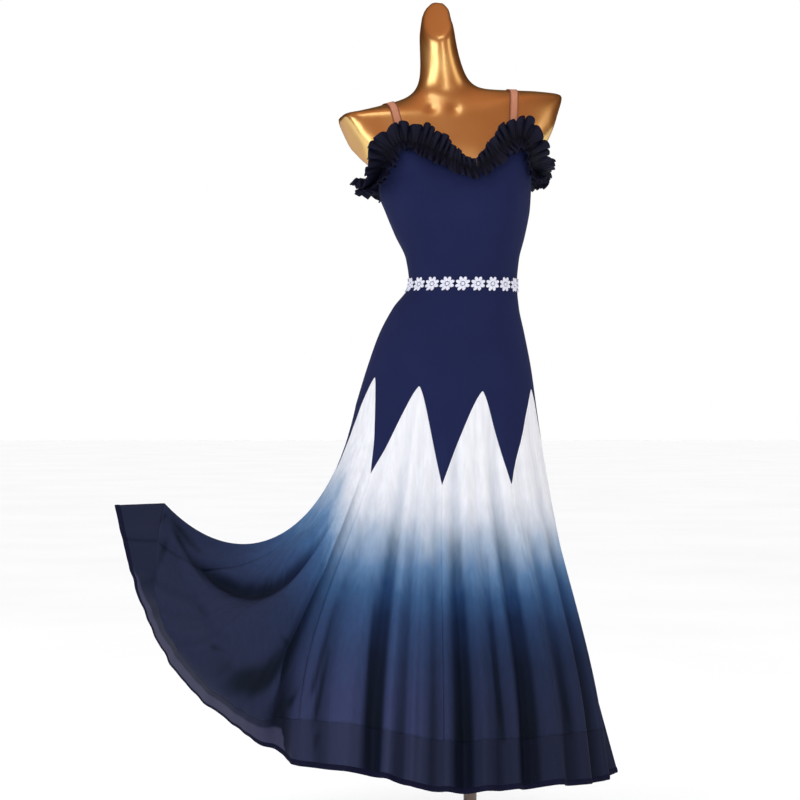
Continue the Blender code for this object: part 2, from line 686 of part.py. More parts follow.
def skirt(collection):
    """Yoke, eight gores and the hem band, all cut from the one worn surface."""
    angles, starts = skirt_angles()
    grid, outward = skirt_surface(angles)
    count = len(angles)
    heights = zigzag_height(angles)
    for j in range(1, count, 2):
        heights[j] = (heights[j - 1] + heights[(j + 1) % count]) / 2
    zig = np.array([edge_index(grid, j, heights[j]) for j in range(count)])
    step = np.linalg.norm(grid[UPPER_SAMPLES + 2] - grid[UPPER_SAMPLES + 1], axis=1)
    slant = SLANT_GAP / step
    seam_row = UPPER_SAMPLES + LOWER_SAMPLES - 2
    above = BAND_GAP / np.linalg.norm(grid[seam_row] - grid[seam_row - 1], axis=1)
    under = BAND_GAP / np.linalg.norm(grid[seam_row + 1] - grid[seam_row], axis=1)
    for i, first in enumerate(starts):
        size = GORES[i][2]
        columns = [(first + j) % count for j in range(size + 1)]
        name = "gore_%d" % (i + 1)
        top = zig[columns] + slant[columns]
        low = seam_row - above[columns]
        points, directions = sample_rows(grid, outward, columns, top, low, GORE_ROWS)
        panel(name, points, directions, SKIRT_WALL, gore_cloth(name + "_cloth"), collection)
    left = starts[4]
    right = starts[0]
    halves = (("front", left, count), ("back", right, left))
    for label, first, end in halves:
        span = [(first + j) % count for j in range(end - first + 1)]
        columns = span[::2]
        name = "yoke_" + label
        top = np.full(len(columns), 0.02)
        low = zig[columns] - slant[columns]
        points, directions = sample_rows(grid, outward, columns, top, low, YOKE_ROWS)
        panel(name, points, directions, BODICE_WALL, navy_stretch(name + "_cloth"), collection)
        name = "hem_band_" + label
        top = seam_row + under[span]
        low = np.full(len(span), len(grid) - 1.0)
        points, directions = sample_rows(grid, outward, span, top, low, BAND_ROWS)
        walls = (BAND_WALL, BAND_WALL, BOUND_EDGE)
        panel(name, points, directions, walls, sheer_band(name + "_mesh"), collection)


def waist_belt(collection):
    """Band of eight-petal flowers, petal to petal, round the waist seam."""
    columns = BELT_FLOWERS * len(FLOWER_HALF)
    ring = body_ring(np.arange(0.0, 360.0, 0.5), WAIST_ROW)
    length = np.linalg.norm(np.diff(np.vstack((ring, ring[:1])), axis=0), axis=1)
    total = np.concatenate(([0.0], np.cumsum(length)))
    goal = np.arange(columns) * total[-1] / columns
    angles = np.interp(goal, total, np.arange(0.0, 360.1, 0.5))
    half = np.array([FLOWER_HALF[j % len(FLOWER_HALF)] for j in range(columns)])
    up = (body_value("left_z", WAIST_ROW + 1) - body_value("left_z", WAIST_ROW))
    down = (body_value("left_z", WAIST_ROW) - body_value("left_z", WAIST_ROW - 1))
    table = (WAIST_ROW + half / up, WAIST_ROW - half / down)
    points, outward = body_patch(angles, table)
    inner = points + outward * BELT_STAND
    outer = inner + outward * BELT_WALL
    mesh_points, faces = wall_solid(outer, inner, closed=True)
    add_object("waist_belt", mesh_points, faces, lace("belt_lace"), collection)


def strap(name, xs, low_front, low_back, middle, tree, collection):
    """Elastic from the front neckline over the shoulder to the back edge."""
    spots = []
    ways = []
    for angle in np.arange(-50.0, 240.0, 2.0):
        a = math.radians(angle)
        x = np.interp(angle, (-20.0, 80.0, 200.0), xs)
        away = Vector((0.0, -math.cos(a), math.sin(a)))
        start = Vector((x, middle[0], middle[1])) + away * 0.4
        hit, normal, _, _ = tree.ray_cast(start, -away)
        limit = low_front if angle < 90.0 else low_back
        if hit is not None and hit.z > limit:
            spots.append(np.array(hit))
            ways.append(np.array(normal))
    spots = np.array(spots)
    ways = np.array(ways)
    length = np.concatenate(([0.0], np.cumsum(np.linalg.norm(np.diff(spots, axis=0), axis=1))))
    goal = np.linspace(0.0, length[-1], STRAP_ROWS)
    for _ in range(3):
        ways[1:-1] = unit(ways[:-2] + ways[1:-1] * 2 + ways[2:])
    line = np.stack([np.interp(goal, length, spots[:, k]) for k in range(3)], axis=1)
    way = unit(np.stack([np.interp(goal, length, ways[:, k]) for k in range(3)], axis=1))
    along = unit(slopes(line[:, None, :], 0)[:, 0])
    across = unit(np.cross(along, way))
    way = unit(np.cross(across, along))
    offsets = np.array((-0.5, 0.5))[None, :, None] * STRAP_WIDTH
    under = line[:, None, :] + across[:, None, :] * offsets + way[:, None, :] * STRAP_STAND
    points, faces = wall_solid(under + way[:, None, :] * STRAP_WALL, under)
    add_object(name, points, faces, elastic(name + "_elastic"), collection)


def straps(form, collection):
    """Both shoulder straps, laid on the form."""
    tree = BVHTree.FromPolygons([v.co for v in form.data.vertices],
                                [tuple(p.vertices) for p in form.data.polygons])
    strap("strap_left", (-0.1270, -0.1620, -0.1450), 1.3290, 1.2760, (0.0, 1.350),
          tree, collection)
    strap("strap_right", (0.0790, 0.0836, 0.0600), 1.3430, 1.2860, (0.01, 1.365),
          tree, collection)


def ruffle(name, turn, collection):
    """Gathered strip, free along both edges, stitched down its middle along the neckline."""
    dense = np.linspace(V_ANGLE + 0.8 * turn, 90.0 + (360.0 if turn > 0 else 0.0), 150)
    rows = np.array([neckline_row(a) for a in dense]) - 0.10
    line, out = body_patch(dense, [rows])
    line = line[0]
    out = out[0]
    length = np.concatenate(([0.0], np.cumsum(np.linalg.norm(np.diff(line, axis=0), axis=1))))
    waves = int(round(length[-1] / RUFFLE_PITCH))
    goal = np.linspace(0.0, length[-1] - 0.0030, waves * 4 + 1)
    share = goal / length[-1]
    line = np.stack([np.interp(goal, length, line[:, k]) for k in range(3)], axis=1)
    out = unit(np.stack([np.interp(goal, length, out[:, k]) for k in range(3)], axis=1))
    for _ in range(16):
        line[1:-1] = (line[:-2] + line[1:-1] * 2 + line[2:]) / 4
        out[1:-1] = unit(out[:-2] + out[1:-1] * 2 + out[2:])
    along = unit(slopes(line[:, None, :], 0)[:, 0])
    up = unit(np.cross(out, along)) * turn
    for _ in range(220):
        up[1:-1] = unit(up[:-2] + up[1:-1] * 2 + up[2:])
    near = np.clip(1 - share / 0.16, 0.0, 1.0)[:, None]
    up = unit(up * (1 - near) + np.array((-0.30, 0.0, 0.95)) * near)
    up = unit(up - out * (up * out).sum(1, keepdims=True))
    column = {n: curve(RUFFLE[:, 0], RUFFLE[:, i], share) for i, n in enumerate(RUFFLE_COLUMNS)}
    step = np.arange(len(goal))
    wave = np.array((0.0, 1.0, 0.0, -1.0))[step % 4]
    uneven = 1.0 + 0.22 * np.sin(step * 0.71) + 0.14 * np.sin(step * 1.93 + 1.0)
    high = np.radians(column["upper_flare"])[:, None]
    low = np.radians(column["lower_flare"])[:, None]
    stitched = line + out * (RUFFLE_STAND + STITCH_SWING * wave[:, None])
    up_way = up * np.cos(high) + out * np.sin(high)
    up_side = out * np.cos(high) - up * np.sin(high)
    low_way = -up * np.cos(low) + out * np.sin(low)
    low_side = out * np.cos(low) + up * np.sin(low)
    swing = (RUFFLE_SWING * wave * uneven * column["wave"])[:, None]
    long = 1.0 + 0.08 * np.sin(step * 0.43 + 0.5) + 0.05 * np.sin(step * 1.31)
    upper = stitched + up_way * (column["upper"] * long)[:, None] + up_side * swing
    lower = stitched + low_way * (column["lower"] * long)[:, None] + low_side * swing
    grid = np.array((upper, stitched, lower))
    if turn > 0:
        outward = normals(grid)
    else:
        outward = -normals(grid)
    spread = np.where(wave == 0, 1.0, 1.25)[None, :, None]
    half = outward * spread * RUFFLE_WALL / 2
    points, faces = wall_solid(grid + half, grid - half)
    add_object(name, points, faces, organza(name + "_organza"), collection)


def build():
    """Make every piece."""
    clear_scene()
    collection = bpy.data.collections.new(COLLECTION)
    bpy.context.scene.collection.children.link(collection)
    form = form_torso(collection)
    stand(collection)
    bodice(collection)
    skirt(collection)
    waist_belt(collection)
    straps(form, collection)
    ruffle("ruffle_left", -1, collection)
    ruffle("ruffle_right", 1, collection)


build()
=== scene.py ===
"""Looks of a ballroom dance dress worn by a smooth gold dress form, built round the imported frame.

Metres, Z up. The dress faces -Y and the viewer's right is +X. Ring angles run 0 at the viewer's
right side, 90 at the back, 180 at the viewer's left side and 270 at the front.
"""
import json
import math

import bmesh
import bpy
import numpy as np
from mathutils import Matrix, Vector
from mathutils.bvhtree import BVHTree

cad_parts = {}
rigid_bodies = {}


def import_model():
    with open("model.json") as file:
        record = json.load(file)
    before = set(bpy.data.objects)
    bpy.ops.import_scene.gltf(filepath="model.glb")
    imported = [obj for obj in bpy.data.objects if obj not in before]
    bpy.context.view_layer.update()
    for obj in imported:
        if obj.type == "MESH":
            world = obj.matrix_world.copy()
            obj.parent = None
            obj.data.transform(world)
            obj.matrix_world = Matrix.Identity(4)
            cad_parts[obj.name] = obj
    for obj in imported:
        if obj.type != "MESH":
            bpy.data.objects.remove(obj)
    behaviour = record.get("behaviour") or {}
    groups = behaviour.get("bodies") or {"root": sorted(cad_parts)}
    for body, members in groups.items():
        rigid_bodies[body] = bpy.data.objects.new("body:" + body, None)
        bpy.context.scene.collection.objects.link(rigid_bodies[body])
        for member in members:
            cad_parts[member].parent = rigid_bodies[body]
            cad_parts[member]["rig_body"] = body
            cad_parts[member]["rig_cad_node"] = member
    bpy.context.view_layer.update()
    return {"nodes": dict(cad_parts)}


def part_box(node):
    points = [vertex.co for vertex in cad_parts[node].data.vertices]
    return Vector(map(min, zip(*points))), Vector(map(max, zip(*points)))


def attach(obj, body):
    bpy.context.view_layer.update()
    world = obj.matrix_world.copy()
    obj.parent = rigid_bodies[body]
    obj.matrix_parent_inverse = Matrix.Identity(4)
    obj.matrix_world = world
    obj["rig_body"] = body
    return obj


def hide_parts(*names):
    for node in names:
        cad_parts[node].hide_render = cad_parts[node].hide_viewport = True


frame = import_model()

nodes = frame["nodes"]
scene = bpy.context.scene
bpy.ops.object.select_all(action="DESELECT")


# The studio: a pale painted floor that runs far back, an even pale surround, two tall strip lamps
# beside the camera and a high panel that draw the streaks on the gold, and two broad soft lamps.
# Polished things mirror an unlit warm brown room. The camera stands level with the waist.
FLOOR_SIZE = 90.0
FLOOR_COLOR = "#FEFEFF"
SURROUND_COLOR = "#FFFFFF"
ROOM_COLOR = "#A16148"
LAMPS = (
    # name, place, aim, width, height, watts, colour
    ("strip_left", (-1.25, -2.60, 1.65), (-0.06, 0.0, 1.45), 0.70, 1.9, 11.5, "#FFFFFF"),
    ("strip_right", (0.80, -2.70, 1.90), (-0.06, 0.0, 1.45), 0.28, 2.4, 6.0, "#FFFFFF"),
    ("high_panel", (-0.10, -1.70, 4.60), (-0.05, 0.0, 1.40), 1.00, 0.8, 6.0, "#FFFFFF"),
    ("broad_left", (-3.0, -3.0, 2.6), (-0.05, 0.0, 0.9), 1.6, 2.4, 30.0, "#F8FBFF"),
    ("broad_right", (3.2, -1.6, 2.2), (0.0, 0.0, 1.0), 1.2, 2.4, 11.0, "#FFF1E2"),
)
CAMERA_PLACE = (-0.133, -4.5, 0.8455)
CAMERA_LENS = 106.6


def linear(code):
    """Linear colour of an sRGB hex value such as #A0B1C2."""
    parts = [int(code[i:i + 2], 16) / 255 for i in (1, 3, 5)]
    return tuple(c / 12.92 if c <= 0.04045 else ((c + 0.055) / 1.055) ** 2.4 for c in parts)


def feed(tree, inputs, feeds):
    """Give each named socket its link, its sRGB hex colour or its plain value."""
    for name, source in dict(feeds).items():
        if isinstance(source, bpy.types.NodeSocket):
            tree.links.new(source, inputs[name])
        elif isinstance(source, str):
            inputs[name].default_value = (*linear(source), 1.0)
        else:
            inputs[name].default_value = source


def add_node(tree, kind, feeds=(), output=0, **settings):
    """One output of a new shader node with its settings and all that its sockets are fed."""
    node = tree.nodes.new("ShaderNode" + kind)
    for key, value in settings.items():
        setattr(node, key, value)
    feed(tree, node.inputs, feeds)
    return node.outputs[output]


def noise(tree, scale, detail, stretch=None):
    """Noise in the object's own coordinates, drawn out along an axis where asked."""
    place = add_node(tree, "TexCoord", output="Object")
    if stretch:
        place = add_node(tree, "Mapping", {"Vector": place, "Scale": stretch})
    return add_node(tree, "TexNoise", {"Vector": place, "Scale": scale, "Detail": detail}, "Fac")


def remap(tree, value, span, onto):
    """A value carried from one span onto another."""
    return add_node(tree, "MapRange", {"Value": value, "From Min": span[0], "From Max": span[1],
                                       "To Min": onto[0], "To Max": onto[1]})


def reckon(tree, operation, *terms):
    """Result of one sum on a socket and, where it takes two, a socket or a number."""
    return add_node(tree, "Math", dict(enumerate(terms)), operation=operation)


def blend(tree, factor, low, high):
    """Colour between two hex values or sockets by a factor."""
    return add_node(tree, "Mix", {"Factor": factor, 6: low, 7: high}, 2, data_type="RGBA")


def new_material(name, look, color, rough, metal=0.0, specular=0.5):
    """Material whose Principled shader has these constants and what its look feeds it."""
    material = bpy.data.materials.new(name)
    material.use_nodes = True
    tree = material.node_tree
    sockets = tree.nodes["Principled BSDF"].inputs
    feed(tree, sockets, {"Base Color": color, "Roughness": rough, "Metallic": metal,
                         "Specular IOR Level": specular})
    feed(tree, sockets, look(tree))
    return material


def painted_floor(tree):
    """Matt pale floor paint: faint clouding from the roller, a metre or so across."""
    cloud = noise(tree, scale=0.9, detail=2.0)
    return {"Base Color": blend(tree, cloud, "#F4F4F5", FLOOR_COLOR)}


bpy.ops.mesh.primitive_plane_add(size=FLOOR_SIZE)
floor = bpy.context.object
floor.name = "studio_floor"
paint = new_material("pale_floor_paint", painted_floor, FLOOR_COLOR, 1.0, specular=0.0)
floor.data.materials.append(paint)

world = bpy.data.worlds.new("pale_surround")
scene.world = world
world.use_nodes = True
sky = world.node_tree
way = add_node(sky, "TexCoord", output="Generated")
depth = add_node(sky, "SeparateXYZ", {"Vector": way}, "Y")
rise = add_node(sky, "SeparateXYZ", {"Vector": way}, "Z")
sky_light = reckon(sky, "ADD", remap(sky, depth, (-1.0, 0.7), (0.22, 0.70)),
                   remap(sky, rise, (0.7, 1.0), (0.0, 1.9)))
room_light = reckon(sky, "ADD", remap(sky, depth, (-1.0, 0.3), (1.15, 0.30)),
                    remap(sky, rise, (0.75, 1.0), (0.0, 0.8)))
mirrored = add_node(sky, "LightPath", output="Is Glossy Ray")
seen = add_node(sky, "LightPath", output="Is Camera Ray")
level = add_node(sky, "Mix", {"Factor": mirrored, "A": sky_light, "B": room_light})
feed(sky, sky.nodes["Background"].inputs, {
    "Color": blend(sky, mirrored, SURROUND_COLOR, ROOM_COLOR),
    "Strength": add_node(sky, "Mix", {"Factor": seen, "A": level, "B": 1.0}),
})

for lamp_name, place, aim, width, height, watts, color in LAMPS:
    bpy.ops.object.light_add(type="AREA", location=place)
    lamp = bpy.context.object
    lamp.name = lamp_name
    lamp.data.shape = "RECTANGLE"
    lamp.data.size = width
    lamp.data.size_y = height
    lamp.data.energy = watts
    lamp.data.color = linear(color)
    lamp.rotation_euler = (Vector(aim) - Vector(place)).to_track_quat("-Z", "Y").to_euler()

bpy.ops.object.camera_add(location=CAMERA_PLACE, rotation=(math.pi / 2, 0.0, 0.0))
scene.camera = bpy.context.object
scene.camera.data.sensor_width = 36.0
scene.camera.data.lens = CAMERA_LENS
scene.view_settings.view_transform = "Standard"


# The stand: a drawn steel tube up into the form and a turned steel floor plate with an eased rim.
# Both are brushed, so fine hairlines run upright, along the tube.
STAND = (
    # name, node, sides
    ("stand_pole", "form_pole", 48),
    ("stand_plate", "form_base", 128),
)
PLATE_RIM = 0.003
SHARP_ANGLE = 40.0


def relief(tree, height, strength, distance):
    """Surface direction of a fine relief."""
    return add_node(tree, "Bump", {"Height": height, "Strength": strength, "Distance": distance})


def brushed_steel(tree):
    """Brushed steel tube and plate: grey-brown, with hairlines and a soft long gloss."""
    line = noise(tree, scale=1.0, detail=3.0, stretch=(900.0, 900.0, 12.0))
    return {
        "Roughness": remap(tree, line, (0.0, 1.0), (0.28, 0.48)),
        "Normal": relief(tree, line, strength=0.15, distance=0.0002),
    }


def take(item):
    """Select one object alone and make it the active one."""
    bpy.ops.object.select_all(action="DESELECT")
    item.select_set(True)
    bpy.context.view_layer.objects.active = item


def settle(item):
    """Put an object's place into its mesh and leave the object at the origin."""
    take(item)
    bpy.ops.object.transform_apply(location=True, rotation=True, scale=True)


steel = new_material("brushed_steel_tube", brushed_steel, "#7C7169", 0.36, 1.0)
for name, node, sides in STAND:
    low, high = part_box(node)
    bpy.ops.mesh.primitive_cylinder_add(vertices=sides, radius=(high[0] - low[0]) / 2,
                                        depth=high[2] - low[2],
                                        location=(0.0, 0.0, (high[2] + low[2]) / 2))
    item = bpy.context.object
    item.name = name
    if node == "form_base":
        rim = item.modifiers.new("eased_rim", "BEVEL")
        rim.width = PLATE_RIM
        rim.segments = 3
        rim.limit_method = "ANGLE"
        bpy.ops.object.modifier_apply(modifier="eased_rim")
    settle(item)
    item.data.materials.append(steel)
    bpy.ops.object.shade_smooth_by_angle(angle=math.radians(SHARP_ANGLE))
    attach(item, "root")
    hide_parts(node)


# The dress form: a smooth moulded glass-fibre shell, plated bright gold, cut flat at the neck and
# at both arms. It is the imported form, its facets sanded away, its cut edges a little rounded, its
# tip drawn up to full height and two shallow hollows pressed in at the throat.
FORM_SKIN = 0.0032
FORM_EASES = (
    # place, reach along each axis, passes of sanding
    ((0.0, 0.0, 1.2), (9.0, 9.0, 9.0), 34),
    ((-0.050, 0.0, 1.465), (0.200, 0.200, 0.075), 120),
    ((-0.043, -0.060, 1.420), (0.130, 0.090, 0.085), 260),
    ((0.168, 0.0, 1.415), (0.060, 0.130, 0.055), 110),
    ((-0.250, -0.02, 1.355), (0.060, 0.130, 0.055), 60),
)
NECK_FOOT = 1.46
NECK_TOP = 1.6066
TIP_FOOT = 1.562
TIP_POWER = 1.5
TIP_EDGE = 0.004
TIP_SHIFT = 0.005
TIP_SPREAD = 0.26
THROAT_HOLLOWS = (
    # across, up, radius, depth in metres
    (-0.074, 1.392, 0.011, 0.0028),
    (-0.031, 1.392, 0.011, 0.0028),
)


def gold_plating(tree):
    """Bright gold plating: clear reflections, slightly uneven from the hand-sanded shell."""
    wave = noise(tree, scale=14.0, detail=2.0)
    return {
        "Specular Tint": "#A0602C",
        "Coat Weight": 0.6,
        "Coat IOR": 1.5,
        "Coat Roughness": 0.13,
        "Base Color": blend(tree, wave, "#E5BC70", "#EFCD86"),
        "Roughness": remap(tree, wave, (0.0, 1.0), (0.26, 0.34)),
        "Normal": relief(tree, wave, strength=0.15, distance=0.004),
    }


def mesh_points(mesh):
    """Places of all the points of a mesh."""
    points = np.empty(len(mesh.vertices) * 3)
    mesh.vertices.foreach_get("co", points)
    return points.reshape(-1, 3)


def move_points(mesh, points):
    """Put the points of a mesh in new places."""
    mesh.vertices.foreach_set("co", points.ravel())
    mesh.update()


def ease_skin(mesh, place, reach, passes):
    """Sand the shell down round one place, less and less toward the end of the reach."""
    points = mesh_points(mesh)
    count = len(points)
    pairs = np.empty(len(mesh.edges) * 2, dtype=np.int32)
    mesh.edges.foreach_get("vertices", pairs)
    one, other = pairs.reshape(-1, 2).T
    share = np.bincount(one, minlength=count) + np.bincount(other, minlength=count)
    away = np.linalg.norm((points - np.array(place)) / np.array(reach), axis=1)
    grip = 0.5 * np.clip(1.0 - away ** 2, 0.0, 1.0) ** 2
    for _ in range(passes):
        for axis in range(3):
            line = points[:, axis]
            around = np.bincount(one, line[other], count) + np.bincount(other, line[one], count)
            points[:, axis] = line + (around / share - line) * grip
    move_points(mesh, points)


def shape_neck(mesh):
    """Give the sanded neck its height and broad tip again and press in the throat's hollows."""
    points = mesh_points(mesh)
    x, y, z = points.T
    pressed = np.zeros(len(points))
    for across, up, radius, depth in THROAT_HOLLOWS:
        away = np.hypot(x - across, z - up) / radius
        pressed = np.maximum(pressed, depth * np.exp(-away ** 2))
    points[:, 1] = y + np.where(y < 0.0, pressed, 0.0)
    share = np.clip((z - NECK_FOOT) / (z.max() - NECK_FOOT), 0.0, 1.0)
    middle = x[z > z.max() - TIP_EDGE].mean()
    tip = np.clip((z - TIP_FOOT) / (z.max() - TIP_FOOT), 0.0, 1.0) ** TIP_POWER
    points[:, 0] = x + tip * (TIP_SHIFT + (x - middle) * TIP_SPREAD)
    points[:, 2] = z + share * (NECK_TOP - z.max())
    move_points(mesh, points)


form = nodes["form_torso"].copy()
form.data = nodes["form_torso"].data.copy()
form.name = "dress_form"
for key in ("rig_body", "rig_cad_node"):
    if key in form:
        del form[key]
form.parent = None
scene.collection.objects.link(form)
form.data.materials.clear()
gold = new_material("gold_plated_shell", gold_plating, "#EBC67C", 0.30, 1.0)
form.data.materials.append(gold)
take(form)
bpy.ops.object.mode_set(mode="EDIT")
bpy.ops.mesh.select_all(action="SELECT")
bpy.ops.mesh.remove_doubles(threshold=0.00005)
bpy.ops.object.mode_set(mode="OBJECT")
skin = form.modifiers.new("skin", "REMESH")
skin.mode = "VOXEL"
skin.voxel_size = FORM_SKIN
bpy.ops.object.modifier_apply(modifier="skin")
for place, reach, passes in FORM_EASES:
    ease_skin(form.data, place, reach, passes)
shape_neck(form.data)
bpy.ops.object.shade_smooth()
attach(form, "root")
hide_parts("form_torso")


# The bodice: navy stretch jersey, one front and one back panel sewn at the sides, pulled smooth
# over moulded cups. Every cloth piece of the body hangs on one worn surface, set by these rings.
BODY = np.array((
    # left x, left z, right x, right z, front, back, turn in degrees, cup, squareness
    (-0.2166, 0.8379, 0.1254, 0.8379, 0.112, 0.124, 3, 0.000, 2.10),
    (-0.1957, 0.9063, 0.1159, 0.9063, 0.105, 0.118, 3, 0.000, 2.15),
    (-0.1710, 0.9747, 0.1026, 0.9747, 0.098, 0.105, 4, 0.000, 2.15),
    (-0.1463, 1.0203, 0.0931, 1.0203, 0.088, 0.088, 6, 0.000, 2.15),
    (-0.1159, 1.0659, 0.0893, 1.0659, 0.079, 0.076, 8, 0.000, 2.15),
    (-0.1216, 1.1115, 0.0931, 1.1115, 0.084, 0.078, 9, 0.000, 2.15),
    (-0.1425, 1.1571, 0.1045, 1.1571, 0.090, 0.082, 10, 0.006, 2.15),
    (-0.1615, 1.2027, 0.1140, 1.2065, 0.093, 0.086, 10, 0.018, 2.15),
    (-0.1710, 1.2274, 0.1159, 1.2331, 0.093, 0.089, 11, 0.025, 2.15),
    (-0.1748, 1.2559, 0.1178, 1.2787, 0.090, 0.091, 12, 0.023, 2.20),
    (-0.2242, 1.3015, 0.1710, 1.3395, 0.082, 0.090, 14, 0.012, 2.30),
    (-0.2660, 1.3205, 0.1938, 1.3813, 0.072, 0.084, 14, 0.004, 2.40),
    (-0.2812, 1.3585, 0.2014, 1.4117, 0.060, 0.076, 14, 0.000, 2.40),
    (-0.2755, 1.3780, 0.1976, 1.4325, 0.048, 0.066, 14, 0.000, 2.40),
))
WAIST_ROW = 4.0
NECK_LOW_ROW = 7.0
TOP_ROW = 12.5
BOTTOM_ROW = 3.9
CUP_SPREAD = 34.0  # degrees either side of the front
CUP_WIDTH = 27.0
ROW_STEP = 0.05
NECKLINE = np.array((
    (-0.1760, 1.2559), (-0.1672, 1.2863), (-0.1558, 1.3110), (-0.1387, 1.3253),
    (-0.1140, 1.3243), (-0.0855, 1.3167), (-0.0570, 1.3063), (-0.0285, 1.2930),
    (0.0000, 1.2787), (0.0190, 1.2844), (0.0380, 1.3015), (0.0570, 1.3205),
    (0.0798, 1.3376), (0.0969, 1.3424), (0.1102, 1.3281), (0.1159, 1.3072), (0.1190, 1.2787),
))
BACK_DIP = 0.012
JERSEY_THICK = 0.0009
BODICE_COLUMNS = 96
BODICE_ROWS = 44
HALVINGS = 22


def curve(keys, values, at):
    """Smooth values through every key without overshoot."""
    keys = np.asarray(keys, dtype=float)
    values = np.asarray(values, dtype=float)
    at = np.clip(np.asarray(at, dtype=float), keys[0], keys[-1])
    gap = np.diff(keys)
    rise = np.diff(values) / gap
    slope = np.zeros(len(keys))
    same = rise[:-1] * rise[1:] > 0
    total = np.where(same, rise[:-1] + rise[1:], 1.0)
    slope[1:-1] = np.where(same, 2.0 * rise[:-1] * rise[1:] / total, 0.0)
    slope[0] = rise[0]
    slope[-1] = rise[-1]
    i = np.clip(np.searchsorted(keys, at) - 1, 0, len(keys) - 2)
    t = (at - keys[i]) / gap[i]
    a = (1 + 2 * t) * (1 - t) ** 2 * values[i] + t * (1 - t) ** 2 * gap[i] * slope[i]
    b = t * t * (3 - 2 * t) * values[i + 1] + t * t * (t - 1) * gap[i] * slope[i + 1]
    return a + b


def ring_shape(angles, width, front, back, turn, cup, square):
    """Ring in its own plane after it is turned: sideways and depth."""
    a = np.radians(angles)
    c = np.cos(a)
    s = np.sin(a)
    side = np.sign(c) * np.abs(c) ** (2.0 / square) * width
    depth = np.sign(s) * np.abs(s) ** (2.0 / square) * np.where(s < 0, front, back)
    from_front = np.mod(angles, 360.0) - 270
    near = (from_front - CUP_SPREAD) / CUP_WIDTH
    far = (from_front + CUP_SPREAD) / CUP_WIDTH
    depth = depth - cup * (np.exp(-near ** 2) + np.exp(-far ** 2))
    turn = math.radians(turn)
    x = side * math.cos(turn) - depth * math.sin(turn)
    y = side * math.sin(turn) + depth * math.cos(turn)
    return x, y


def body_ring(angles, row):
    """Points of the worn surface at the given angles of one row position."""
    angles = np.asarray(angles, dtype=float)
    left_x, left_z, right_x, right_z, *shape = (
        float(curve(np.arange(len(BODY)), values, row)) for values in BODY.T)
    width = math.hypot(right_x - left_x, right_z - left_z) / 2
    tilt = math.atan2(right_z - left_z, right_x - left_x)
    all_x, _ = ring_shape(np.arange(0.0, 360.0, 2.0), width, *shape)
    middle = (all_x.max() + all_x.min()) / 2
    grow = 2 * width / (all_x.max() - all_x.min())
    x, y = ring_shape(angles, width, *shape)
    along = (x - middle) * grow
    return np.stack(((left_x + right_x) / 2 + along * math.cos(tilt), y,
                     (left_z + right_z) / 2 + along * math.sin(tilt)), axis=1)


def unit(vectors):
    """Vectors of length one."""
    size = np.linalg.norm(vectors, axis=-1, keepdims=True)
    return vectors / np.maximum(size, 1e-12)


def normals(grid):
    """Outward directions of a grid whose rows go down and whose columns go all the way round."""
    return unit(np.cross(np.gradient(grid, axis=0), np.roll(grid, -1, 1) - np.roll(grid, 1, 1)))


def cut_piece(fields, columns, starts, ends, count):
    """Parts of several grids, count rows between two fractional rows of each column."""
    shares = np.linspace(0.0, 1.0, count)
    rows = np.outer(1 - shares, starts) + np.outer(shares, ends)
    base = np.clip(np.floor(rows), 0, len(fields[0]) - 2).astype(int)
    cut = []
    for field in fields:
        part = (rows - base).reshape(base.shape + (1,) * (field.ndim - 2))
        cut.append(field[base, columns] * (1 - part) + field[base + 1, columns] * part)
    return cut


def distances(line):
    """How far along its first axis each point of a line or a grid lies."""
    steps = np.linalg.norm(np.diff(line, axis=0), axis=-1)
    return np.concatenate((np.zeros_like(steps[:1]), np.cumsum(steps, axis=0)))


def grid_piece(name, grid, material, closed=False, ends=()):
    """Smooth object of a grid of points, its last column joined to the first where closed."""
    rows, columns = grid.shape[:2]
    faces = []
    for i in range(rows - 1):
        for j in range(columns if closed else columns - 1):
            k = (j + 1) % columns
            faces.append((i * columns + j, (i + 1) * columns + j, (i + 1) * columns + k,
                          i * columns + k))
    mesh = bpy.data.meshes.new(name)
    mesh.from_pydata(grid.reshape(-1, 3).tolist(), [], faces + list(ends))
    mesh.polygons.foreach_set("use_smooth", [True] * len(mesh.polygons))
    mesh.materials.append(material)
    mesh.update()
    item = bpy.data.objects.new(name, mesh)
    scene.collection.objects.link(item)
    return item


def cloth_mesh(name, grid, thick, material, marks=None):
    """Cloth shell whose outer face is the grid, with its marks as attributes and a UV in metres."""
    item = grid_piece(name, grid, material)
    mesh = item.data
    for label, values in (marks or {}).items():
        layer = mesh.attributes.new(label, "FLOAT", "POINT")
        layer.data.foreach_set("value", np.ascontiguousarray(values, dtype=np.float32).ravel())
    across = distances(grid.swapaxes(0, 1)).T
    flat = np.stack((across, -distances(grid)), axis=2).reshape(-1, 2)
    corners = np.empty(len(mesh.loops), dtype=np.int32)
    mesh.loops.foreach_get("vertex_index", corners)
    chart = mesh.uv_layers.new(name="cloth")
    chart.data.foreach_set("uv", flat[corners].ravel().astype(np.float32))
    take(item)
    wall = item.modifiers.new("cloth_wall", "SOLIDIFY")
    wall.thickness = thick
    wall.offset = -1.0
    bpy.ops.object.modifier_apply(modifier="cloth_wall")
    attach(item, "root")
    return item


def stretch_jersey(tree):
    """Navy stretch jersey: a dense matt knit with a faint bluish bloom where it turns away."""
    cloud = noise(tree, scale=9.0, detail=3.0)
    knit = noise(tree, scale=1400.0, detail=2.0)
    return {
        "Sheen Weight": 0.08,
        "Sheen Roughness": 0.45,
        "Sheen Tint": "#5A6BA8",
        "Base Color": blend(tree, cloud, "#181E43", "#1F2650"),
        "Normal": relief(tree, knit, strength=0.25, distance=0.0004),
    }


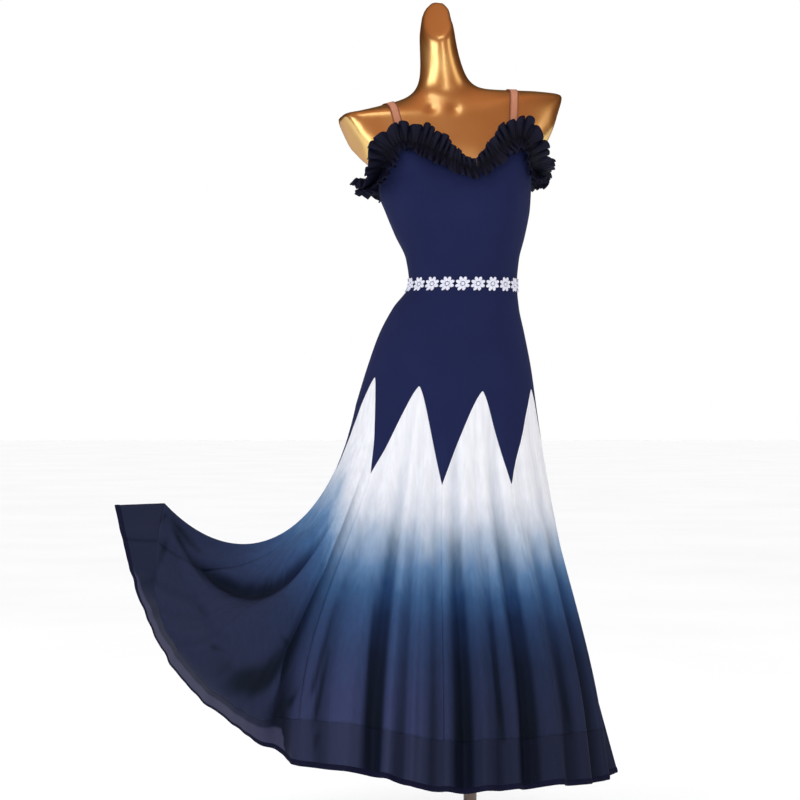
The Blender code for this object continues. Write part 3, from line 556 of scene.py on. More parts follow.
def neckline_row(angle):
    """Row position where a column meets the neckline, front or back."""
    wrapped = angle % 360.0
    low = NECK_LOW_ROW
    high = TOP_ROW
    for _ in range(HALVINGS):
        row = (low + high) / 2
        here = body_ring([wrapped], row)[0]
        if wrapped >= 180.0 or wrapped == 0.0:
            goal = np.interp(here[0], NECKLINE[:, 0], NECKLINE[:, 1])
        else:
            across = (here[0] - NECKLINE[0, 0]) / (NECKLINE[-1, 0] - NECKLINE[0, 0])
            across = min(max(across, 0.0), 1.0)
            goal = NECKLINE[0, 1] + across * (NECKLINE[-1, 1] - NECKLINE[0, 1])
            goal = goal - BACK_DIP * math.sin(math.pi * across)
        if here[2] < goal:
            low = row
        else:
            high = row
    return (low + high) / 2


jersey = new_material("navy_stretch_jersey", stretch_jersey, "#1B2149", 0.8, specular=0.1)
body_angles = np.arange(2 * BODICE_COLUMNS) * 180.0 / BODICE_COLUMNS
body_rows = np.arange(TOP_ROW, BOTTOM_ROW, -ROW_STEP)
body_surface = np.array([body_ring(body_angles, row) for row in body_rows])
neck_rows = np.array([neckline_row(a) for a in body_angles])
for side, first in (("front", BODICE_COLUMNS), ("back", 0)):
    columns = np.arange(first, first + BODICE_COLUMNS + 1) % len(body_angles)
    starts = (body_rows[0] - neck_rows[columns]) / ROW_STEP
    grid, = cut_piece((body_surface,), columns, starts, (body_rows[0] - WAIST_ROW) / ROW_STEP,
                      BODICE_ROWS)
    panel = cloth_mesh("bodice_%s_jersey" % side, grid, JERSEY_THICK, jersey)
    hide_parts("bodice_" + side)


# The skirt: one worn surface from the waist seam over the hips to the hem, pinned out on the
# viewer's left. The gores are let into the yoke's zigzag edge; their seams are at these angles.
GORES = (
    # seam angle, point angle, columns, height of the point, height of the yoke's tooth
    (1.0, 24.0, 72, 0.872, 0.690),
    (47.0, 70.0, 72, 0.875, 0.692),
    (93.0, 116.5, 72, 0.878, 0.694),
    (140.0, 163.0, 104, 0.882, 0.700),
    (186.0, 208.6, 104, 0.888, 0.712),
    (230.2, 250.0, 80, 0.871, 0.709),
    (267.8, 289.5, 80, 0.862, 0.689),
    (305.0, 340.5, 88, 0.866, 0.689),
)
GORE_EDGE_POWER = 1.4
HEM = np.array((
    # ring angle, x, y and z of the hem and of the band's seam in millimetres, pull in percent
    (180, -676, 0, 648, -580, 0, 652, 100),
    (187, -654, -34, 572, -588, -62, 570, 86),
    (193, -634, -46, 502, -588, -98, 504, 70),
    (199, -600, -64, 420, -570, -132, 436, 52),
    (205, -558, -90, 350, -535, -160, 382, 36),
    (211, -496, -118, 286, -480, -185, 322, 22),
    (217, -424, -148, 240, -412, -204, 284, 12),
    (223, -373, -185, 209, -364, -216, 268, 5),
    (229, -324, -228, 188, -322, -222, 270, 0),
    (236, -270, -262, 185, -268, -244, 268, 0),
    (244, -210, -284, 181, -206, -262, 264, 0),
    (252, -158, -296, 173, -154, -272, 256, 0),
    (260, -108, -302, 158, -105, -278, 246, 0),
    (268, -56, -306, 151, -55, -281, 239, 0),
    (276, -6, -305, 150, -6, -280, 238, 0),
    (284, 42, -297, 152, 41, -272, 240, 0),
    (292, 87, -284, 153, 85, -259, 240, 0),
    (302, 136, -256, 154, 132, -233, 240, 0),
    (312, 178, -220, 149, 172, -199, 240, 0),
    (324, 217, -170, 144, 208, -153, 238, 0),
    (338, 250, -103, 141, 238, -92, 234, 0),
    (360, 278, 5, 142, 253, 5, 228, 0),
    (382, 260, 125, 146, 238, 114, 231, 0),
    (404, 205, 228, 148, 190, 208, 234, 0),
    (426, 112, 302, 150, 103, 276, 237, 0),
    (448, -4, 334, 151, -6, 306, 239, 0),
    (470, -130, 326, 156, -128, 300, 245, 0),
    (486, -236, 288, 168, -231, 266, 256, 0),
    (497, -320, 240, 186, -311, 232, 268, 3),
    (508, -416, 184, 222, -398, 206, 286, 12),
    (516, -500, 138, 282, -480, 180, 326, 24),
    (524, -575, 96, 380, -550, 144, 410, 46),
    (532, -634, 52, 502, -588, 92, 506, 72),
    (540, -676, 0, 648, -580, 0, 652, 100),
)) / np.array((1, 1000, 1000, 1000, 1000, 1000, 1000, 100))
DROP = 0.24
LEAVE_SHAPE = (0.020, 0.0, -0.020)
PULL_SHAPE = (0.150, 0.0, -0.160)
FOLDS = np.array((
    # ring angle, millimetres out or in at the hem
    (180, 0), (214, 0), (220, 4), (225, -12), (231, 10), (235, -6), (241, 15), (248, -20),
    (252, 6), (255.5, -8), (259.5, 12), (265, -8), (269, 7), (274, -22), (280, 15), (285, -7),
    (289, 9), (295, -22), (304, 17), (312, -8), (320, 10), (329, -13), (337, 7), (346, -12),
    (355, 2), (364, -9), (374, 9), (384, -15), (394, 13), (404, -17), (413, 15), (422, -15),
    (432, 16), (441, -16), (451, 14), (460, -16), (470, 13), (479, -14), (488, 10), (497, -10),
    (506, 4), (514, 0), (540, 0),
), dtype=float)
FOLD_POWER = 0.9
SHADE_POWER = 0.4
CREST_SHADE = np.array((
    # ring angle, how much of its crest colour the low end of the cloth keeps against painted shade
    (180, 0.42), (222, 0.40), (233, 0.90), (240, 1.00), (250, 1.00), (262, 0.80), (274, 0.50),
    (300, 0.38), (340, 0.36), (360, 0.45), (450, 0.60), (500, 0.45), (540, 0.42),
))
CREST_SHADE_FROM = 0.50
CREST_SHADE_TO = 0.70
# The painted fold shade: full depth, the creases' weight, and the depths where valleys are darkest
# and planes keep their crest colour.
FULL_FOLD = 0.014
PINCH_SHADE = 4.0
VALLEY = -0.95
PLANE = 0.15
RIPPLES = (
    # degrees a wave, millimetres at the hem, start
    (3.4, 0.8, 0.4),
    (2.2, 0.5, 1.9),
    (5.3, 0.9, 3.1),
)
SWAGS = np.array((
    # metres under the line from hip to pin, millimetres out or in
    (0.000, 0), (0.060, 2), (0.105, 8), (0.128, 4), (0.147, -15), (0.164, -4), (0.188, 8),
    (0.225, 10), (0.262, 4), (0.292, -12), (0.318, -15), (0.365, 6), (0.420, 0), (0.700, 0),
))
SWAG_EDGE = 0.02
SWAG_FADE = 1.2
SWAG_POWER = 1.6
SWAG_FRONT = 236.0
SWAG_BACK = 484.0
SWAG_BLEND = 14.0
RIDGE_BLEND = 8.0
SECOND_SWAG = 0.235
SECOND_BLEND = 0.03
SECOND_START = 0.25
SECOND_RUN = 0.35
CREASES = (
    # three points across and up from the pin to the loose end, depth, width, all in millimetres
    (-565, 622, -523, 560, -445, 505, 3.2, 5.5),
    (-560, 606, -537, 553, -472, 475, 3.0, 5.0),
    (-571, 586, -577, 545, -597, 508, 2.5, 5.0),
    (-571, 632, -585, 617, -602, 596, 2.0, 4.5),
    (-515, 470, -470, 428, -415, 412, 2.4, 5.0),
    (-480, 400, -462, 392, -440, 390, 2.0, 4.5),
    (-352, 552, -395, 552, -432, 566, 1.8, 4.5),
    (-372, 526, -412, 524, -448, 536, 1.8, 4.5),
    (-335, 408, -352, 424, -368, 448, 2.4, 4.5),
    (-302, 284, -272, 400, -249, 486, 3.6, 5.0),
    (-334, 292, -318, 320, -302, 350, 3.0, 5.0),
    (-292, 250, -276, 330, -262, 390, 2.4, 4.5),
    (-310, 248, -312, 228, -317, 200, 2.5, 5.0),
    (-282, 246, -286, 226, -290, 204, 2.2, 4.5),
    (-226, 236, -222, 214, -226, 190, 1.8, 4.5),
    (-30, 226, -26, 200, -29, 168, 1.8, 4.5),
    (96, 228, 101, 204, 98, 172, 1.8, 4.5),
    (53, 236, 36, 390, 26, 560, 3.6, 4.5),
    (-188, 200, -185, 386, -179, 580, 3.0, 6.0),
    (-13, 165, -25, 485, -34, 606, 3.0, 6.0),
    (92, 165, 82, 441, 75, 684, 2.8, 5.5),
    (180, 236, 163, 330, 152, 430, 2.0, 6.0),
    (-95, 200, -100, 300, -104, 420, 1.6, 5.0),
)
CREASE_STEP = 0.004
CREASE_LOSS = 0.8
CREASE_START = 0.3
CREASE_RISE = 4
FRONT_FACING = 3.0
PIN_X = -0.578
PIN_Z = 0.628
HIP_X = -0.240
HIP_Z = 0.655
UPPER_SAMPLES = 41
LOWER_SAMPLES = 141
BAND_SAMPLES = 13
LOWER_SHARE = 0.89
BAND_SHARE = 0.11
HIP_RUN = 6  # rows over which the hip's slope is taken
SEAM_EASE = 0.33
YOKE_ROWS = 40
GORE_THICK = 0.0007
GORE_ROWS = 130
DYE_LENGTH = 1.2
DYE_FIRM = 0.05
DYE_PULL = 0.2
DYE_EARLY = 0.075


def bezier(p0, p1, p2, p3, t):
    """Point of a cubic curve."""
    s = 1 - t
    return s ** 3 * p0 + 3 * s * s * t * p1 + 3 * s * t * t * p2 + t ** 3 * p3


def from_sweep(angles):
    """Ring angles counted on from the pinned side, 180 to 540."""
    return np.mod(angles - 180.0, 360.0) + 180.0


def hem_table(angles):
    """Hem place, seam place and pull at each ring angle."""
    around = from_sweep(angles)
    return np.stack([curve(HEM[:, 0], values, around) for values in HEM.T[1:]], axis=1)


def gore_lines():
    """Column angles round the skirt, the yoke's edge height at each, first column of each gore."""
    angles = []
    heights = []
    starts = []
    for i, (seam, apex, count, point_z, seam_z) in enumerate(GORES):
        after, _, _, _, after_z = GORES[(i + 1) % len(GORES)]
        if after <= seam:
            after += 360.0
        half = count // 2
        starts.append(len(angles))
        angles.extend(np.linspace(seam, apex, half, endpoint=False))
        angles.extend(np.linspace(apex, after, half, endpoint=False))
        for j in range(count):
            low = seam_z if j <= half else after_z
            heights.append(point_z - (point_z - low) * abs(1 - j / half) ** GORE_EDGE_POWER)
    return np.array(angles), np.array(heights), starts


def smooth_step(values):
    """Values from nought to one with level ends."""
    t = np.clip(values, 0.0, 1.0)
    return t * t * (3.0 - 2.0 * t)


def swag(grid, angles):
    """How far the pinned side's hanging folds stand out at each point."""
    across = (grid[:, :, 0] - PIN_X) / (HIP_X - PIN_X)
    inside = np.clip(across, SWAG_EDGE, 1 - SWAG_EDGE)
    bow = 4 * inside * (1 - inside)
    line = PIN_Z + (HIP_Z - PIN_Z) * inside
    hang = (line - grid[:, :, 2]) / bow
    out = curve(SWAGS[:, 0], SWAGS[:, 1], hang) / 1000.0
    fade = np.clip(bow * SWAG_FADE, 0.0, 1.0) ** SWAG_POWER
    side = np.clip((SWAG_FRONT - angles) / SWAG_BLEND, 0.0, 1.0)
    side = side + np.clip((angles - SWAG_BACK) / SWAG_BLEND, 0.0, 1.0)
    ridge = np.minimum(np.abs(angles - 180.0), np.abs(angles - 540.0))
    side = side * np.clip(ridge / RIDGE_BLEND, 0.0, 1.0)
    fade = np.where((across > 0.0) & (across < 1.0), fade, 0.0)
    second = np.clip((hang - SECOND_SWAG) / SECOND_BLEND, 0.0, 1.0)
    kept = smooth_step((across - SECOND_START) / SECOND_RUN)
    fade = fade * (1.0 - second * (1.0 - kept))
    return out * fade * side[None, :]


def creased(grid, outward):
    """How far the small creases press in each point of the side that faces the front."""
    pressed = np.zeros(grid.shape[:2])
    flat = grid[:, :, (0, 2)]
    front = np.clip(-outward[:, :, 1] * FRONT_FACING, 0.0, 1.0)
    for *places, deep, wide in CREASES:
        p0, p1, p2 = np.array(places).reshape(3, 2) / 1000.0
        for t in np.linspace(0.0, 1.0, 2 + int(np.linalg.norm(p2 - p0) / CREASE_STEP)):
            spot = p0 * (1 - t) ** 2 + p1 * 2 * t * (1 - t) + p2 * t * t
            away = np.linalg.norm(flat - spot, axis=2) * 1000.0 / wide
            firm = min(1.0, CREASE_START + CREASE_RISE * t)
            here = deep * (1.0 - CREASE_LOSS * t) * firm * np.exp(-away ** 2)
            pressed = np.maximum(pressed, here)
    return -pressed * front / 1000.0


def skirt_surface(angles):
    """Worn surface, waist to hem, with its folds; its directions; how far out each point stands in
    its fold, for the painted fold shade.
    """
    upper = np.array([body_ring(angles, r) for r in np.linspace(WAIST_ROW, 0.0, UPPER_SAMPLES)])
    hip = upper[-1]
    tangent = unit(hip - upper[-HIP_RUN])
    hem, seam, pull = np.split(hem_table(angles), (3, 6), axis=1)
    reach = np.linalg.norm(seam - hip, axis=1, keepdims=True)
    leave = hip + tangent * DROP + np.array(LEAVE_SHAPE) * pull
    plain = seam - unit(hem - seam) * reach * SEAM_EASE
    arrive = plain * (1 - pull) + (seam + np.array(PULL_SHAPE)) * pull
    down = np.linspace(0.0, 1.0, LOWER_SAMPLES)[1:]
    along = np.linspace(0.0, 1.0, BAND_SAMPLES)[1:]
    lower = [bezier(hip, leave, arrive, seam, t) for t in down]
    band = [seam + (hem - seam) * t for t in along]
    grid = np.concatenate((upper, np.array(lower), np.array(band)))
    outward = normals(grid)
    wrapped = from_sweep(angles)
    fold = curve(FOLDS[:, 0], FOLDS[:, 1], wrapped) / 1000.0
    lower_share = np.arange(1, LOWER_SAMPLES) / (LOWER_SAMPLES - 1) * LOWER_SHARE
    band_share = LOWER_SHARE + np.arange(1, BAND_SAMPLES) / (BAND_SAMPLES - 1) * BAND_SHARE
    share = np.concatenate((np.zeros(UPPER_SAMPLES), lower_share, band_share))
    for wave, size, start in RIPPLES:
        fold = fold + size / 1000.0 * np.sin(2 * math.pi * wrapped / wave + start)
    out = (share ** FOLD_POWER)[:, None] * fold[None, :]
    grid = grid + outward * out[:, :, None]
    hanging = swag(grid, wrapped)
    pinched = creased(grid, outward)
    grid = grid + outward * (hanging + pinched)[:, :, None]
    shown = (share ** SHADE_POWER)[:, None] * fold[None, :]
    return grid, normals(grid), (shown + hanging + pinched * PINCH_SHADE) / FULL_FOLD


def edge_row(grid, column, height):
    """Fractional row where a column first falls to a height."""
    z = grid[:, column, 2]
    below = int(np.argmax(z < height))
    above = below - 1
    return above + (z[above] - height) / (z[above] - z[below])


skirt_columns, edge_heights, gore_starts = gore_lines()
skirt_grid, skirt_outward, skirt_depth = skirt_surface(skirt_columns)
column_count = len(skirt_columns)
fall = distances(skirt_grid)
swept = np.clip((hem_table(skirt_columns)[:, 6] - DYE_FIRM) / DYE_PULL, 0.0, 1.0)
skirt_dye = (fall + swept * DYE_EARLY) / DYE_LENGTH
# Painted shade: the fold mark darkens the valleys, and by ring angle it darkens the low end's
# crests as well.
crest_shade = curve(CREST_SHADE[:, 0], CREST_SHADE[:, 1], from_sweep(skirt_columns))
low_end = smooth_step((fall - CREST_SHADE_FROM) / (CREST_SHADE_TO - CREST_SHADE_FROM))
skirt_fold_shade = smooth_step((skirt_depth - VALLEY) / (PLANE - VALLEY))
skirt_fold_shade = skirt_fold_shade * (1.0 - (1.0 - crest_shade[None, :]) * low_end)
zigzag = np.array([edge_row(skirt_grid, j, h) for j, h in enumerate(edge_heights)])
seam_row = UPPER_SAMPLES + LOWER_SAMPLES - 2
hem_row = len(skirt_grid) - 1

halves = (("front", gore_starts[4], column_count), ("back", 0, gore_starts[4]))
for side, first, last in halves:
    columns = np.arange(first, last + 1) % column_count
    grid, = cut_piece((skirt_grid,), columns, 0.0, zigzag[columns], YOKE_ROWS)
    panel = cloth_mesh("yoke_%s_jersey" % side, grid, JERSEY_THICK, jersey)
    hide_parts("yoke_" + side)


# The gores: light chiffon-weight cloth, dip-dyed from white through blue to navy before it was
# sewn, cut pointed at the top and wide at the hem, hanging free in soft upright folds.
CREST_DYE = ((0.00, "#EFEFF5"), (0.33, "#ECEDF3"), (0.40, "#E6E7EE"), (0.45, "#D0D5E0"),
             (0.50, "#9BADC5"), (0.55, "#5C7DA5"), (0.60, "#395982"), (0.65, "#324870"),
             (0.72, "#303E63"), (0.80, "#343B5F"), (1.05, "#383E5E"))
# The same dye darkened: painted shade for the valleys of the folds.
FOLD_SHADE_DYE = ((0.00, "#E4E5EB"), (0.33, "#DDDFE7"), (0.40, "#D0D4DF"), (0.45, "#B4BDCC"),
            (0.50, "#74869B"), (0.54, "#3F5C7E"), (0.58, "#213E68"), (0.64, "#132343"),
            (0.72, "#0E172B"), (0.85, "#0C1421"), (1.05, "#0D1322"))


def dye_ramp(tree, stops, source):
    """Colours along the cloth at distances in metres from the waist."""
    ramp = add_node(tree, "ValToRGB", {"Fac": source}, "Color")
    band = ramp.node.color_ramp
    while len(band.elements) > 1:
        band.elements.remove(band.elements[-1])
    band.elements[0].position = stops[0][0] / DYE_LENGTH
    band.elements[0].color = (*linear(stops[0][1]), 1.0)
    for metres, code in stops[1:]:
        stop = band.elements.new(metres / DYE_LENGTH)
        stop.color = (*linear(code), 1.0)
    return ramp


def mark(tree, name):
    """One of the marks that the cloth carries."""
    return add_node(tree, "Attribute", output="Fac", attribute_name=name)


def dipped_chiffon(tree):
    """Dip-dyed light cloth: the dye front creeps unevenly along the threads; the folds get painted
    shade, a darker copy of the dye.
    """
    streak = noise(tree, scale=1.0, detail=3.0, stretch=(38.0, 38.0, 3.0))
    creep = remap(tree, streak, (0.3, 0.7), (-0.010, 0.010))
    reach = reckon(tree, "ADD", mark(tree, "dye"), creep)
    # Painted shade: where the fold mark is low, the dye gives way to its darkened copy.
    color = blend(tree, mark(tree, "fold"), dye_ramp(tree, FOLD_SHADE_DYE, reach),
                  dye_ramp(tree, CREST_DYE, reach))
    fibre = noise(tree, scale=1.0, detail=2.0, stretch=(130.0, 130.0, 2.2))
    level = remap(tree, fibre, (0.3, 0.7), (0.94, 1.06))
    weave = noise(tree, scale=900.0, detail=2.0)
    return {
        "Base Color": add_node(tree, "HueSaturation", {"Color": color, "Value": level}),
        "Normal": relief(tree, weave, strength=0.2, distance=0.0004),
    }


chiffon = new_material("dip_dyed_chiffon", dipped_chiffon, "#C0C8DA", 0.75, specular=0.08)
for i, first in enumerate(gore_starts):
    columns = np.arange(first, first + GORES[i][2] + 1) % column_count
    grid, dye, fold = cut_piece((skirt_grid, skirt_dye, skirt_fold_shade), columns, zigzag[columns],
                                seam_row, GORE_ROWS)
    gore = cloth_mesh("gore_%d_chiffon" % (i + 1), grid, GORE_THICK, chiffon,
                      {"dye": dye, "fold": fold})
    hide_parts("gore_%d" % (i + 1))


# The hem band: a stiff sheer nylon strip about 85 mm deep, sewn under the gores, with a rolled
# cloth binding along its lower edge that holds the hem out.
BAND_THICK = 0.0007
BINDING_DEEP = 0.011
BINDING_THICK = 0.0026
BAND_ROWS = 22
BINDING_SIDES = 8
SINGLE_EDGE = 14.0
SINGLE_LAYER = np.array((
    # ring angle, share of the band's depth where one layer shows, counted from the hem
    (180, 0.0), (188, 0.0), (196, 0.50), (205, 0.66), (214, 0.72), (225, 0.72), (226, 0.0),
    (540, 0.0),
))


def sheer_crinoline(tree):
    """Stiff sheer navy nylon: painted shade makes it nearly black in the folds; greyed where one
    layer shows light.
    """
    # Painted shade: the valleys of the folds take the near-black colour.
    color = blend(tree, mark(tree, "fold"), "#0F1526", "#2E334E")
    mesh = noise(tree, scale=700.0, detail=2.0)
    return {
        "Base Color": blend(tree, mark(tree, "single"), color, "#3B3C55"),
        "Normal": relief(tree, mesh, strength=0.3, distance=0.0005),
    }


def binding_cloth(tree):
    """Matt navy bias binding, folded over the edge."""
    twill = noise(tree, scale=500.0, detail=2.0)
    return {"Normal": relief(tree, twill, strength=0.3, distance=0.0005)}


def rolled_edge(name, edge, up, out, material):
    """Flat rolled binding round an edge line, closed at both ends."""
    turns = np.radians(np.arange(BINDING_SIDES) * 360.0 / BINDING_SIDES)
    rings = []
    for k in range(len(edge)):
        middle = edge[k] + up[k] * BINDING_DEEP / 2
        rings.append([middle + up[k] * math.cos(t) * BINDING_DEEP / 2
                      + out[k] * math.sin(t) * BINDING_THICK / 2 for t in turns])
    last = (len(edge) - 1) * BINDING_SIDES
    ends = (tuple(range(BINDING_SIDES)),
            tuple(range(last + BINDING_SIDES - 1, last - 1, -1)))
    item = grid_piece(name, np.array(rings), material, closed=True, ends=ends)
    work = bmesh.new()
    work.from_mesh(item.data)
    bmesh.ops.recalc_face_normals(work, faces=work.faces)
    work.to_mesh(item.data)
    work.free()
    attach(item, "root")
    return item


crinoline = new_material("sheer_navy_crinoline", sheer_crinoline, "#2B2E4C", 0.6, specular=0.06)
bias = new_material("navy_bias_binding", binding_cloth, "#12142C", 0.8, specular=0.08)
for side, first, last in halves:
    columns = np.arange(first, last + 1) % column_count
    grid, fold, out = cut_piece((skirt_grid, skirt_fold_shade, skirt_outward), columns, seam_row,
                                hem_row, BAND_ROWS)
    reach = np.interp(from_sweep(skirt_columns[columns]), SINGLE_LAYER[:, 0], SINGLE_LAYER[:, 1])
    from_hem = np.linspace(1.0, 0.0, BAND_ROWS)[:, None]
    single = np.clip((reach[None, :] - from_hem) * SINGLE_EDGE, 0.0, 1.0)
    band = cloth_mesh("hem_band_%s_crinoline" % side, grid, BAND_THICK, crinoline,
                      {"fold": fold, "single": single})
    up = unit(grid[-3] - grid[-1])
    middle = grid[-1] - out[-1] * BAND_THICK / 2
    binding = rolled_edge("hem_binding_" + side, middle, up, out[-1], bias)
    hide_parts("hem_band_" + side)


# The waist trim: guipure lace, white cotton daisies of eight satin-stitched petal loops round a
# raised eye, set petal to petal and sewn flat over the waist seam.
DAISIES = 20
PETALS = 8
PETAL_OUT = 0.0094
PETAL_LONG = 0.0054
PETAL_WIDE = 0.0040
THREAD = 0.0013
EYE_RADIUS = 0.0036
TRIM_STAND = 0.0018
TRIM_DROP = 0.0030
RING_THICK = 0.32
RING_HIGH = 2.4
FILL_SIZE = 0.8
FILL_HIGH = 0.45
EYE_HIGH = 1.3
DAISY_WIDE = 0.0300
TRIM_REACH = 0.4
TRIM_ROWS = 9


def guipure(tree):
    """White cotton embroidery: matt, fine ridges of satin stitch, painted lavender shade in the
    hollows.
    """
    stitch = noise(tree, scale=420.0, detail=3.0)
    return {
        # Painted shade: the low parts of the stitch relief turn lavender.
        "Base Color": blend(tree, stitch, "#D6D8F0", "#F8F8FF"),
        "Normal": relief(tree, stitch, strength=0.5, distance=0.0008),
    }


def stitched(scale, turn=0.0, place=(0.0, 0.0, 0.0)):
    """The form just made, sized, turned and put in its place in the flower."""
    item = bpy.context.object
    item.scale = scale
    item.rotation_euler = (0.0, 0.0, turn)
    item.location = place
    settle(item)
    return item


def joined(items, main):
    """Several objects made one under the name of the main one."""
    take(main)
    for item in items:
        item.select_set(True)
    bpy.ops.object.join()
    return bpy.context.object


def flat_daisy():
    """One daisy lying flat, made from stitched rings and a domed eye."""
    made = []
    for n in range(PETALS):
        turn = 2 * math.pi * (n + 0.5) / PETALS
        place = (math.cos(turn) * PETAL_OUT, math.sin(turn) * PETAL_OUT, 0.0)
        bpy.ops.mesh.primitive_torus_add(major_segments=12, minor_segments=5, major_radius=1.0,
                                         minor_radius=RING_THICK, location=(0.0, 0.0, 0.0))
        made.append(stitched((PETAL_LONG - THREAD, PETAL_WIDE - THREAD, THREAD * RING_HIGH),
                             turn, place))
        bpy.ops.mesh.primitive_uv_sphere_add(segments=8, ring_count=4, radius=1.0)
        made.append(stitched((PETAL_LONG * FILL_SIZE, PETAL_WIDE * FILL_SIZE,
                              THREAD * FILL_HIGH), turn, place))
    bpy.ops.mesh.primitive_uv_sphere_add(segments=14, ring_count=7, radius=1.0)
    made.append(stitched((EYE_RADIUS, EYE_RADIUS, THREAD * EYE_HIGH)))
    return joined(made, made[-1])


def trim_daisies():
    """The daisies bent round the waist, each a copy of the flat one, joined as one trim."""
    pattern = flat_daisy()
    rows = WAIST_ROW + np.linspace(-TRIM_REACH, TRIM_REACH, TRIM_ROWS)
    patch = np.array([body_ring(np.arange(0.0, 360.0, 0.5), r) for r in rows[::-1]])
    out = normals(patch)
    wide = np.concatenate((patch, patch[:, :1]), axis=1)
    wide_out = np.concatenate((out, out[:, :1]), axis=1)
    around = distances(wide[TRIM_ROWS // 2])
    heights = wide[:, :, 2].mean(axis=1) - wide[TRIM_ROWS // 2, :, 2].mean()
    flat = mesh_points(pattern.data)
    pitch = around[-1] / DAISIES
    size = pitch / DAISY_WIDE
    level = np.interp(flat[:, 1] * size - TRIM_DROP, heights[::-1],
                      np.arange(TRIM_ROWS)[::-1])
    copies = []
    for n in range(DAISIES):
        arc = np.mod((n + 0.5) * pitch + flat[:, 0] * size, around[-1])
        column = np.interp(arc, around, np.arange(len(around)))
        i = np.minimum(column, len(around) - 2).astype(int)
        j = np.minimum(level, TRIM_ROWS - 2).astype(int)
        a = (column - i)[:, None]
        b = (level - j)[:, None]
        upper = wide[j, i] * (1 - a) + wide[j, i + 1] * a
        lower = wide[j + 1, i] * (1 - a) + wide[j + 1, i + 1] * a
        daisy = pattern.copy()
        daisy.data = pattern.data.copy()
        scene.collection.objects.link(daisy)
        lift = flat[:, 2:] + TRIM_STAND
        move_points(daisy.data, upper * (1 - b) + lower * b + wide_out[j, i] * lift)
        copies.append(daisy)
    bpy.data.objects.remove(pattern, do_unlink=True)
    return joined(copies, copies[0])


trim = trim_daisies()
trim.name = "daisy_trim"
trim.data.materials.clear()
lace = new_material("white_guipure_cotton", guipure, "#EDEEF8", 0.75, specular=0.3)
trim.data.materials.append(lace)
bpy.ops.object.shade_smooth()
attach(trim, "root")
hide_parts("waist_belt")


# The straps: nude ribbed elastic 16.5 mm wide, from the front neckline over each shoulder to the
# back edge, lying on the gold form.
STRAP_WIDTH = 0.0165
STRAP_THICK = 0.0012
STRAP_STAND = 0.0010
STRAP_RIBS = 6
STRAP_ROWS = 80
STRAP_COLUMNS = 9
STRAP_TURNS = (-50.0, 240.0, 1.5)  # first, end and step, in degrees over the shoulder
STRAP_KEYS = (-20.0, 80.0, 200.0)  # where the three places across are met
STRAP_REACH = 0.4
STRAP_PASSES = 6
STRAPS = (
    # name, place across at front, shoulder and back, lowest front and back, middle
    ("left", (-0.1270, -0.1620, -0.1450), 1.3290, 1.2760, (0.0, 1.350)),
    ("right", (0.0790, 0.0836, 0.0600), 1.3430, 1.2860, (0.01, 1.365)),
)


def ribbed_elastic(tree):
    """Nude woven elastic: fine ribs along it, the colour darker toward both long edges."""
    across = add_node(tree, "SeparateXYZ", {"Vector": add_node(tree, "UVMap", uv_map="cloth")})
    away = reckon(tree, "ABSOLUTE", reckon(tree, "SUBTRACT", across, STRAP_WIDTH / 2))
    edge = remap(tree, away, (0.0045, 0.0075), (0.0, 1.0))
    rib = reckon(tree, "MULTIPLY", across, 2 * math.pi * STRAP_RIBS / STRAP_WIDTH)
    return {
        "Base Color": blend(tree, edge, "#C28062", "#84482F"),
        "Normal": relief(tree, reckon(tree, "SINE", rib), strength=0.5, distance=0.0005),
    }


def at_distances(values, length, goal):
    """Points or directions of a line at the wanted distances along it."""
    return np.stack([np.interp(goal, length, values[:, k]) for k in range(3)], axis=1)


def even_out(values, passes, directions=False):
    """Even out the inner points, or the inner directions, of a line."""
    for _ in range(passes):
        total = values[:-2] + values[1:-1] * 2 + values[2:]
        values[1:-1] = unit(total) if directions else total / 4


def strap_grid(xs, low_front, low_back, middle, tree):
    """Strap surface laid over the form, front end first."""
    spots = []
    ways = []
    for angle in np.arange(*STRAP_TURNS):
        a = math.radians(angle)
        x = np.interp(angle, STRAP_KEYS, xs)
        away = Vector((0.0, -math.cos(a), math.sin(a)))
        hit, normal, _, _ = tree.ray_cast(Vector((x, *middle)) + away * STRAP_REACH, -away)
        limit = low_front if angle < 90.0 else low_back
        if hit is not None and hit.z > limit:
            spots.append(np.array(hit))
            ways.append(np.array(normal))
    spots = np.array(spots)
    ways = np.array(ways)
    even_out(spots, STRAP_PASSES)
    even_out(ways, STRAP_PASSES, directions=True)
    length = distances(spots)
    goal = np.linspace(0.0, length[-1], STRAP_ROWS)
    line = at_distances(spots, length, goal)
    way = unit(at_distances(ways, length, goal))
    along = unit(np.gradient(line, axis=0))
    across = unit(np.cross(along, way))
    way = unit(np.cross(across, along))
    offsets = np.linspace(-0.5, 0.5, STRAP_COLUMNS)[None, :, None] * STRAP_WIDTH
    stand = STRAP_STAND + STRAP_THICK
    return line[:, None, :] + across[:, None, :] * offsets + way[:, None, :] * stand


form_tree = BVHTree.FromPolygons([v.co for v in form.data.vertices],
                                 [tuple(p.vertices) for p in form.data.polygons])
elastic = new_material("nude_ribbed_elastic", ribbed_elastic, "#D08F72", 0.62, specular=0.35)
for side, xs, low_front, low_back, middle in STRAPS:
    grid = strap_grid(xs, low_front, low_back, middle, form_tree)
    strap = cloth_mesh("strap_%s_elastic" % side, grid[:, ::-1], STRAP_THICK, elastic)
    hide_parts("strap_" + side)


